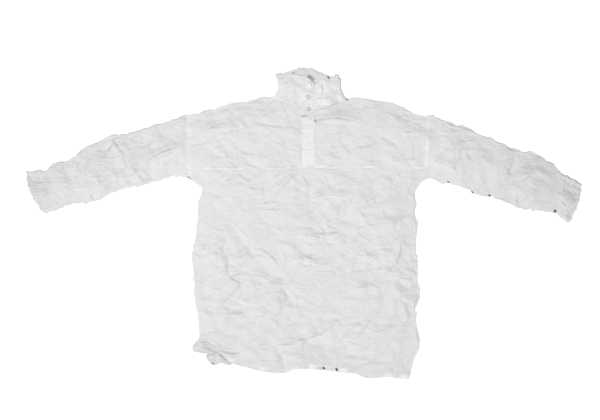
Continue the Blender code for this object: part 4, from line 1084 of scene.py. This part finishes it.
def panel_piece(name, points, material, thickness, tone):
    """A cloth panel: a fine outer face, and an inner one with fewer points below its lowest."""
    rows, columns = points.shape[:2]
    n = INSIDE_EVERY
    low = points[..., 2].copy()
    for axis in (0, 1):
        padded = np.pad(low, [(n, n) if a == axis else (0, 0) for a in (0, 1)], mode="edge")
        windows = [np.take(padded, range(k, k + low.shape[axis]), axis) for k in range(2 * n + 1)]
        low = np.minimum.reduce(windows)
    inner = points[::n, ::n].copy()
    inner[..., 2] = low[::n, ::n] - thickness
    inner_rows, inner_columns = inner.shape[:2]

    outer_index = np.arange(rows * columns).reshape(rows, columns)
    inner_index = rows * columns + np.arange(inner_rows * inner_columns)
    inner_index = inner_index.reshape(inner_rows, inner_columns)

    def quads(index):
        corners = (index[:-1, :-1], index[1:, :-1], index[1:, 1:], index[:-1, 1:])
        return np.stack(corners, axis=-1).reshape(-1, 4)

    faces = quads(outer_index).tolist() + quads(inner_index)[:, ::-1].tolist()
    for outer, inside in (
        (outer_index[0], inner_index[0]),
        (outer_index[:, -1], inner_index[:, -1]),
        (outer_index[-1][::-1], inner_index[-1][::-1]),
        (outer_index[::-1, 0], inner_index[::-1, 0]),
    ):
        for k in range(len(inside) - 1):
            rim = outer[k * n : (k + 1) * n + 1].tolist()
            faces.append(rim + [int(inside[k + 1]), int(inside[k])])
    corners = np.concatenate([points.reshape(-1, 3), inner.reshape(-1, 3)])
    tones = np.concatenate([np.ravel(tone), np.ravel(tone[::n, ::n])])
    return new_piece(name, corners, faces, material, tones)


def place(piece, node):
    """Puts a cloth piece in a solid's place, and hides the solid."""
    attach(piece, "root")
    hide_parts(node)


def raised(x, y, z):
    """A grid of points from its coordinates."""
    return np.stack([x, y, np.broadcast_to(z, np.shape(x))], axis=2)


def chest_grid(section, slit_edge):
    """Places over one chest panel, from its armhole to the slit."""
    width, height = abs(slit_edge - section.upper_x), RIGHT_SHOULDER[0].y - CHEST_SEAM[0].y
    s = even(width, CHEST_STEP, INSIDE_EVERY, EDGE_CELL)[None, :]
    t = even(height, CHEST_STEP, INSIDE_EVERY, EDGE_CELL)[:, None]
    lap = math.copysign(SEAM_LAP, section.upper_x)
    top_x = mix(section.upper_x + lap, slit_edge, s)
    bottom_x = mix(armhole_x(section, CHEST_SEAM[0].y) + lap, slit_edge, s)
    return mix(top_x, bottom_x, t), mix(top_edge(NECKLINE, top_x), through(CHEST_SEAM, bottom_x), t)


def make_chest():
    """The two chest panels, on either side of the slit."""
    for name, section, slit_edge in (
        ("chest_left", LEFT_SLEEVE[0], SLIT_X - 0.15),
        ("chest_right", RIGHT_SLEEVE[0], SLIT_X + 0.15),
    ):
        x, y = chest_grid(section, slit_edge)
        if slit_edge < x[0, 0]:
            x, y = x[:, ::-1], y[:, ::-1]
        z, tone = dressed_front(x, y, True)
        piece = panel_piece(name + "_cloth", raised(x, y, z), COTTON, CLOTH, tone)
        place(piece, name)


def make_lower_front():
    """The front of the body below the chest seam."""
    width, height = RIGHT_SIDE[-1].x - LEFT_SIDE[-1].x, CHEST_SEAM[0].y - HEM[-1].y
    s = even(width, FRONT_STEP, INSIDE_EVERY, EDGE_CELL)[None, :]
    t = even(height, FRONT_STEP, INSIDE_EVERY, EDGE_CELL)[:, None]
    seam_left, seam_right = (float(edge(CHEST_SEAM[0].y)) for edge in (left_edge, right_edge))
    seam_y = through(CHEST_SEAM, mix(seam_left, seam_right, s)) + SEAM_LAP
    y = mix(seam_y, through(HEM, mix(HEM[0].x, HEM[-1].x, s)), t)
    x = mix(left_edge(y[:, :1]), right_edge(y[:, -1:]), s)
    z, tone = dressed_front(x, y, False)
    piece = panel_piece("lower_front_cloth", raised(x, y, z), COTTON, CLOTH, tone)
    place(piece, "lower_front")


def make_placket():
    """The doubled strip over the slit, with the tones of its box of stitches."""
    s = even(PLACKET_RIGHT - PLACKET_LEFT, PLACKET_STEPS[0], 1, EDGE_CELL)[None, :]
    t = even(PLACKET_LENGTH, PLACKET_STEPS[1], 1, EDGE_CELL)[:, None]
    x = mix(PLACKET_LEFT, PLACKET_RIGHT, s) + 0 * t
    y = mix(top_edge(NECKLINE, x[:1]) - 0.2, through(CHEST_SEAM, x[:1]) + 2 * SEAM_LAP, t)
    height, painted_shade = front_relief(x, y)
    z = height + PLACKET_RISE + 0.6 * puckers(x, y)
    # Lighter below the fold, partly the doubled cloth, partly painted highlight; painted shade
    # above it and in the creases, and a painted shadow line under the fold's edge
    tone = mix(0.3, -0.3, smooth((y - PLACKET_TUCK) / 4)) - 0.8 * painted_shade
    tone = tone - 0.5 * np.exp(-(((y - PLACKET_TUCK - 2) / 3.5) ** 2))
    for a, b in PLACKET_BOX_SIDES:
        run = math.hypot(b[0] - a[0], b[1] - a[1])
        t = np.clip(((x - a[0]) * (b[0] - a[0]) + (y - a[1]) * (b[1] - a[1])) / run**2, 0, 1)
        away = np.hypot(x - mix(a[0], b[0], t), y - mix(a[1], b[1], t))
        tone = mix(tone, np.maximum(tone, 0.45), smooth(1.6 - away / 1.6))
    points = raised(x, y, z)
    piece = grid_piece("placket_cloth", points, COTTON_DOUBLE, PLACKET_RISE, tone, flip=True)
    place(piece, "placket")


def corner_lobe(x, y):
    """The back's twisted corner: how far it stands up off the floor, and its painted shade."""
    inward = np.minimum(x - back_left_edge(y), y - through(BACK_HEM, x))
    outside = np.maximum(left_edge(y) - x, through(HEM, x) - y)
    near = smooth((-304 - y) / 10) * smooth((-186 - x) / 24) * smooth((outside + 5) / 8)
    height, between, dark = facets(1.4 * (x + 250), 1.4 * (y + 350), 57.0)
    fan = np.abs(np.sin(5.0 * np.arctan2(y + 338, x + 262) + 0.05 * x)) * 2 - 1
    crumple = LOBE_RISE * (1 + 0.35 * fan) + 1.5 * (height - between)
    lobe = near * smooth(inward / 4) * np.clip(crumple, 0.4, 2.6 * LOBE_RISE)
    # Painted shade on the twisted corner: darker towards its lower edge and in its creases, lighter
    # and darker along its fan of folds
    shade = near * np.clip(0.1 + 0.6 * smooth((-350 - y) / 8) + dark - 0.25 * fan, 0, 1.15)
    return lobe, shade


def make_back():
    """The back, with its corner twisted out from under the front."""
    width, height = RIGHT_SHOULDER[-1].x - LEFT_SHOULDER[0].x, LEFT_SHOULDER[-1].y - HEM[-1].y
    fine = CORNER_REACH / width
    s = np.append(fine * even(CORNER_REACH, CORNER_STEP)[:-1], mix(fine, 1, even(width, BACK_STEP)))
    fine = CORNER_REACH / height
    broad_rows = mix(0, 1 - fine, even(height, BACK_STEP))[:-1]
    t = np.append(broad_rows, mix(1 - fine, 1, even(CORNER_REACH, CORNER_STEP)))
    s, t = s[None, :], t[:, None]
    top_x = mix(LEFT_SHOULDER[0].x, RIGHT_SHOULDER[-1].x, s)
    hem_x = mix(BACK_HEM[0].x, BACK_HEM[-1].x, s)
    y = mix(top_edge(BACK_NECK, top_x), through(BACK_HEM, hem_x), t)
    x = mix(back_left_edge(y[:, :1]), right_edge(y[:, -1:]), s)
    lobe, painted_shade = corner_lobe(x, y)
    z = under_z(x, y) + CLOTH + lobe
    # with the painted black shadow of the tucks on the raised corner
    painted_shade = np.maximum(painted_shade, 2 * tuck_darkness(x, y) * (lobe > 0.1))
    piece = grid_piece("back_cloth", raised(x, y, z), COTTON, CLOTH, -painted_shade, flip=True)
    place(piece, "back")


def tube_points(sections, step, bow, lap=0.0):
    """Rings of points through a flattened tube of cloth, their tones, and the walk along it.

    The first ring lies back by the lap, over the tube before."""
    table = np.array(sections, float)
    middle = (table[:, :2] + table[:, 2:]) / 2
    run = table[0] - table[1]
    table[0] += run * lap / np.hypot(*(middle[0] - middle[1]))
    middle = (table[:, :2] + table[:, 2:]) / 2
    walked = walked_along(middle)
    walk = walked[-1] * even(walked[-1], step, 1, EDGE_CELL)
    ends = [through(list(zip(walked, table[:, k])), walk) for k in range(4)]
    from_joint = smooth((walk if lap else np.minimum(walk, walked[-1] - walk)) / 9)
    ends[1] = ends[1] + RAGGED * jag(ends[0], 43) * from_joint
    ends[3] = ends[3] + RAGGED * jag(ends[2], 44) * from_joint
    upper, lower = np.stack(ends[:2], axis=1), np.stack(ends[2:], axis=1)
    across = lower - upper
    width = np.hypot(across[:, 0], across[:, 1])[:, None]
    across = across / width
    along = np.stack([-across[:, 1], across[:, 0]], axis=1)
    along = along * math.copysign(1, middle[-1, 0]) * math.copysign(1, across[0, 1]) * -1
    bowed = (walk / walked[-1])[:, None, None] ** 2 * bow * along[:, None, :]
    top_s = even(width.mean(), step)
    top_s = np.sort(np.append(top_s, [1.0 / width.mean(), 1 - 1.0 / width.mean()]))
    top_s = top_s[None, :, None]
    under_s = even(width.mean(), 2 * step)[::-1][None, :, None]

    def places(s):
        mouth = (walk / walked[-1])[:, None, None] ** 6 * jag(s * width.mean() * 1.6, 46)
        return (
            mix(upper[:, None, :], lower[:, None, :], s)
            + 4 * s * (1 - s) * bowed
            + (mouth * along[:, None, :] if lap else 0)
        )

    over, under = places(top_s), places(under_s)
    turn = -math.copysign(ARM_TURN, middle[-1, 0])
    over_z, painted_shade = front_relief(over[..., 0], over[..., 1], turn)
    if not lap:
        by_armhole = 1 - smooth(walk / ARMHOLE_RUN)[:, None]
        near = by_armhole[:, 0] > 0
        as_body = front_relief(over[near, :, 0], over[near, :, 1])
        over_z[near] = mix(over_z[near], as_body[0] - CLOTH, by_armhole[near])
        painted_shade[near] = mix(painted_shade[near], as_body[1], by_armhole[near])
    # A broken line of painted shade along the sleeve's upper edge, where the cloth turns away from
    # the light
    upper_rim_shade = np.exp(-top_s[..., 0] * width / RIM_SHADE_REACH) * patchy(over[..., 0], over[..., 1])
    under_face_z = under_z(under[..., 0], under[..., 1])
    fold_z = np.full((len(walk), 1), TUBE_FOLD_Z)
    low_fold = over[:, -1:] + across[:, None, :] * TUBE_FOLD_OUT
    high_fold = over[:, :1] - across[:, None, :] * TUBE_FOLD_OUT
    xy = np.concatenate([over, low_fold, under, high_fold], axis=1)
    z = np.concatenate([over_z, fold_z, under_face_z, fold_z], axis=1)
    tone = -np.maximum(painted_shade, 1.15 * upper_rim_shade)
    tone = np.concatenate([tone, np.zeros((len(walk), xy.shape[1] - over.shape[1]))], axis=1)
    return raised(xy[..., 0], xy[..., 1], z), tone, walk


def make_sleeves():
    """Both sleeves and both cuffs."""
    for side, sleeve, cuff, bow in (
        ("left", LEFT_SLEEVE, LEFT_CUFF, LEFT_CUFF_BOW),
        ("right", RIGHT_SLEEVE, RIGHT_CUFF, RIGHT_CUFF_BOW),
    ):
        flip = side == "left"
        points, tone, walk = tube_points(sleeve, SLEEVE_STEP, 0.0)
        # Painted shade, growing towards the cuff
        tone = tone - ARM_SHADE[side] * smooth(walk / walk[-1])[:, None]
        name = "sleeve_" + side
        piece = grid_piece(name + "_cloth", points, COTTON, CLOTH, tone, True, flip)
        place(piece, name)

        points, tone, walk = tube_points(cuff, CUFF_STEP, bow, SEAM_LAP)
        x, y, top = points[..., 0], points[..., 1], points[..., 2] > 3.0
        u, v = x - x.mean(), y - y.mean()
        height, between, dark = facets(1.1 * (u + v), 0.9 * (v - u), 7.0)
        crumple = 1.1 * (height - between) * smooth(walk / 6)[:, None]
        lift = np.where(top, CUFF_RISE + puckers(x, y) + crumple, 0)
        points[..., 2] = np.maximum(points[..., 2] + lift, np.where(top, 3.0, 0))
        # Painted shade over the cuff's top, and in its creases
        tone = tone - np.where(top, CUFF_SHADE[side] - 0.1 + 1.0 * dark, 0)
        name = "cuff_" + side
        piece = grid_piece(name + "_cloth", points, COTTON, CUFF_CLOTH, tone, True, flip)
        place(piece, name)


# The opening behind the collar's top button, painted dark as its shadow, and a grey patch of
# painted shade beside it
OPENING_X = 21
OPENING_Y = 411
OPENING_LONG = 11.5
OPENING_WIDE = 4.6
GREY_X = -30
GREY_Y = 424


def make_collar():
    """The tall collar, one doubled band round the neck."""
    table = np.array(COLLAR, float)
    station = np.arange(len(table), dtype=float)
    walked = walked_along(table[:, [0, 3]])
    walk = np.linspace(0, walked[-1], round(walked[-1] / COLLAR_STEP) + 1)
    foot_x, rim_x, waist, foot_z, rim_z, rim_y = (
        through(list(zip(walked, table[:, k])), walk)[:, None] for k in range(6)
    )
    at = np.interp(walk, walked, station)
    under = smooth(at - COLLAR_BACK_FROM + 1) * smooth(COLLAR_BACK_TO + 1 - at)
    under = under[:, None]
    v = even(COLLAR_HEIGHT, COLLAR_STEP, 1, EDGE_CELL)[None, :]
    over = 1 - under
    front_foot, back_foot = top_edge(NECKLINE, foot_x), top_edge(BACK_NECK, foot_x)
    foot_y = mix(front_foot - SEAM_LAP, back_foot + 0.3, under)
    rim_y = rim_y + 0.9 * jag(1.5 * walk, 47)[:, None] * (np.abs(rim_x - 11) < 84)
    x = mix(foot_x, rim_x, v) + waist * 4 * v * (1 - v)
    x = x + 0.6 * jag(1.4 * COLLAR_HEIGHT * v + 200, 48) * smooth(np.abs(x - 12) / 20 - 3)
    y = mix(foot_y, rim_y, v)
    floats = np.maximum(foot_z - front_z(foot_x, foot_y) - COLLAR_CLOTH, 0) * over
    z = mix(foot_z, rim_z, v) - floats * smooth(1 - v / 0.5)
    flat = np.clip(1.2 - np.abs(np.gradient(z, axis=0)) * 2.5, 0, 1)
    height, between, dark = facets(1.5 * (x - 15), 1.5 * (y - 370), 11.0)
    lift, deep, sharp, _ = crease_heights(COLLAR_SHARP, x, y)
    crumple = fold_heights(COLLAR_FOLDS, x, y) + COLLAR_CRUMPLE * (height - between) + lift - deep
    crumple = crumple + 0.5 * puckers(x, y)
    ends = smooth(np.minimum(walk, walked[-1] - walk) / 6)[:, None]
    crumple = np.where(crumple > 0, crumple, 0.5 * crumple) * (0.35 + 0.65 * ends)
    for node in BUTTON_NODES:
        low, high = (np.array(corner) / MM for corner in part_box(node))
        away = np.hypot(x - (low[0] + high[0]) / 2, y - (low[1] + high[1]) / 2)
        crumple = crumple * smooth((away - 5.5) / 7)
    z = z + flat * mix(crumple, np.clip(0.5 * crumple, 0, 2.2), under)
    off_x, off_y = x - OPENING_X, y - OPENING_Y
    along, aside = 0.81 * off_x - 0.58 * off_y, 0.58 * off_x + 0.81 * off_y
    opening = np.exp(-((along / OPENING_LONG) ** 4) - (aside / OPENING_WIDE) ** 4)
    z = z + under * BACK_RIM_RISE * smooth((v - 0.4) / 0.4) * (1 - 0.8 * opening)
    z = z - OVERLAP_END * smooth((x - 23) / 5) * (at < 4)[:, None]
    on_chest = np.where(foot_z > 9, front_z(x, y) + COLLAR_CLOTH - 0.1, 0)
    z = np.maximum(np.maximum(z, on_chest * smooth((0.1 - v) / 0.07)), 0.3 + COLLAR_CLOTH * over)
    points = raised(x, y, z)
    # Painted tones: rim and foot lighter, partly painted highlight as on the seams; painted shade
    # in the creases and over the collar's inside, darkest in the opening's painted shadow and the
    # grey patch
    rims = np.clip(smooth((v - 0.95) / 0.03) + smooth((0.05 - v) / 0.03), 0, 1)
    grey_patch_shade = np.exp(-(((x - GREY_X) / 9) ** 2) - ((y - GREY_Y) / 5) ** 2)
    inside = 0.7 + 0.6 * dark + 0.85 * opening + 0.7 * grey_patch_shade
    tone = 0.5 * rims * patchy(x, y) - over * (1.2 * dark + sharp) - under * inside
    tone = tone + 0.8 * smooth((x - 25) / 2) * (at < 4)[:, None]
    tone = tone - 0.25 * over * smooth((-5 - x) / 15)
    for tack_x, tack_y in TACKS:
        near = ((x - tack_x) / 4) ** 2 + ((y - tack_y) / 2.2) ** 2
        tone = tone + over * 0.9 * np.exp(-near)
    # A painted black shadow in the tucks
    tone = np.minimum(tone, 1 - 3 * tuck_darkness(x, y))
    piece = grid_piece("collar_cloth", points, COTTON_DOUBLE, COLLAR_CLOTH, tone)
    place(piece, "collar")


def sew(name, lines):
    """Rows of short raised stitches along lines of points that lie on the cloth."""
    corners, faces = [], []
    for line in lines:
        line = np.array(line, float)
        walked = walked_along(line[:, :2])
        for start in np.arange(0.8, walked[-1] - STITCH_LENGTH, STITCH_PITCH):
            a, b = (
                np.array([np.interp(at, walked, line[:, k]) for k in range(3)])
                for at in (start, start + STITCH_LENGTH)
            )
            along = (b - a) / np.linalg.norm(b - a)
            side = np.array([-along[1], along[0], 0.0]) * STITCH_WIDTH / 2
            up = np.array([0, 0, STITCH_RISE])
            first = len(corners)
            for level, inset in ((-up, 0.0), (up, 0.35)):
                for end, way in ((a, 1), (b, -1)):
                    middle = end + level + along * inset * way
                    corners += [middle - side * (1 - inset), middle + side * (1 - inset)]
            faces += [[first + k for k in quad] for quad in STITCH_FACES]
    piece = new_piece(name, corners, faces, THREAD)
    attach(piece, "root")


def on_front(x, y, in_chest, rise=0.0):
    """Points that lie on the dressed front."""
    x, y = np.broadcast_arrays(np.asarray(x, float), np.asarray(y, float))
    return np.stack([x, y, dressed_front(x, y, in_chest)[0] + rise], axis=1)


def make_stitches():
    """The rows of stitches along the seams, the hem, the placket and the collar's buttons."""
    lines = []
    x = np.arange(-290, 306, STITCHED_EVERY)
    lines.append(on_front(x, through(CHEST_SEAM, x) - 2.2, False))
    x = np.arange(HEM[0].x + 4, HEM[-1].x - 2, STITCHED_EVERY)
    lines.append(on_front(x, through(HEM, x) + HEM_BAND - 1.5, False))
    for section, side in ((LEFT_SLEEVE[0], 1), (RIGHT_SLEEVE[0], -1)):
        y = np.arange(165, 300, STITCHED_EVERY)
        for inset in (1.6, ARMHOLE_BAND - 2.5):
            lines.append(on_front(armhole_x(section, y) + side * inset, y, True))
    sew("seam_stitches", lines)

    y = np.arange(167, PLACKET_TUCK - 4, STITCHED_EVERY)
    lines = [
        on_front(x + 0 * y, y, True, PLACKET_RISE) for x in (PLACKET_LEFT + 2, PLACKET_RIGHT - 2)
    ]
    for a, b in PLACKET_BOX_SIDES:
        t = np.linspace(0, 1, 12)
        lines.append(on_front(mix(a[0], b[0], t), mix(a[1], b[1], t), True, PLACKET_RISE))
    sew("placket_stitches", lines)


def make_buttons():
    """Finishes the turned buttons, and sews them on."""
    # The top button has its shell's own colours; the middle and neck buttons are painted darker, as
    # the shade of the folds over them
    shell_and_shade_colours = {
        "button_top": ((0.96, 0.96, 0.95), (0.9, 0.89, 0.86)),
        "button_middle": ((0.78, 0.77, 0.7), (0.56, 0.54, 0.43)),
        "button_neck": ((0.74, 0.72, 0.71), (0.48, 0.44, 0.44)),
    }
    for node, (middle_colour, rim_colour) in shell_and_shade_colours.items():
        low, high = (np.array(corner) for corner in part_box(node))
        centre = (low + high) / 2
        material = pearl(node + "_pearl", tuple(centre), middle_colour, rim_colour)
        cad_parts[node].material_slots[0].material = material
        x, y, z = centre[0] / MM, centre[1] / MM, high[2] / MM - THREAD_DEPTH
        threads = [
            [(x - THREAD_REACH, y + off, z), (x + THREAD_REACH, y + off, z)]
            for off in (-BUTTON_HOLE_SPREAD, BUTTON_HOLE_SPREAD)
        ]
        sew(node + "_thread", threads)


# The lamps face the shirt: a far one gives the direction, a near one the fall towards the right
Lamp = namedtuple("Lamp", "name kind place spread strength")
LAMPS = [
    Lamp("far", "SUN", (-0.7, -1.1, 3.0), math.radians(16), 1.78),
    Lamp("near", "AREA", (-0.4, 0.05, 2.2), 1.3, 14.0),
]
ROOM_LIGHT = 0.25
FLOOR_GLOW = 0.2  # the floor is lit from below a little, as a light table is
FLOOR_REACH = 4000
CAMERA_PLACE = (-0.0112, 0.0403, 4.0)  # in metres, as the two below are
SEEN_WIDTH = 1.68  # what the camera sees across, at the shirt's mean height
MEAN_HEIGHT = 0.009
SENSOR_WIDTH = 36.0


def make_stage():
    """A plain pale floor, soft light and the camera straight above."""
    scene = bpy.context.scene
    scene.view_settings.view_transform = "Standard"
    scene.view_settings.look = "None"

    pale = Nodes(
        "pale_floor",
        Base_Color=(0.97, 0.97, 0.97, 1),
        Roughness=0.9,
        Specular_IOR_Level=0.1,
        Emission_Color=(1, 1, 1, 1),
        Emission_Strength=FLOOR_GLOW,
    )
    ways = ((-1, -1), (1, -1), (1, 1), (-1, 1))
    corners = [(FLOOR_REACH * x, FLOOR_REACH * y, 0) for x, y in ways]
    floor = new_piece("floor", corners, [(0, 1, 2, 3)], pale.material)

    world = bpy.data.worlds.new("soft_room")
    world.use_nodes = True
    background = world.node_tree.nodes["Background"]
    background.inputs["Color"].default_value = (1, 1, 1, 1)
    background.inputs["Strength"].default_value = ROOM_LIGHT
    scene.world = world

    for row in LAMPS:
        data = bpy.data.lights.new(row.name, row.kind)
        setattr(data, "angle" if row.kind == "SUN" else "size", row.spread)
        data.energy = row.strength
        lamp = bpy.data.objects.new(row.name, data)
        lamp.location = row.place
        lamp.rotation_euler = (-Vector(row.place)).to_track_quat("-Z", "Y").to_euler()
        scene.collection.objects.link(lamp)

    data = bpy.data.cameras.new("camera")
    data.sensor_width = SENSOR_WIDTH
    data.lens = SENSOR_WIDTH * (CAMERA_PLACE[2] - MEAN_HEIGHT) / SEEN_WIDTH
    camera = bpy.data.objects.new("camera", data)
    camera.location = CAMERA_PLACE
    scene.collection.objects.link(camera)
    scene.camera = camera


def main():
    """Dresses every solid, then sets the stage."""
    make_chest()
    make_lower_front()
    make_placket()
    make_back()
    make_sleeves()
    make_collar()
    make_stitches()
    make_buttons()
    make_stage()


main()
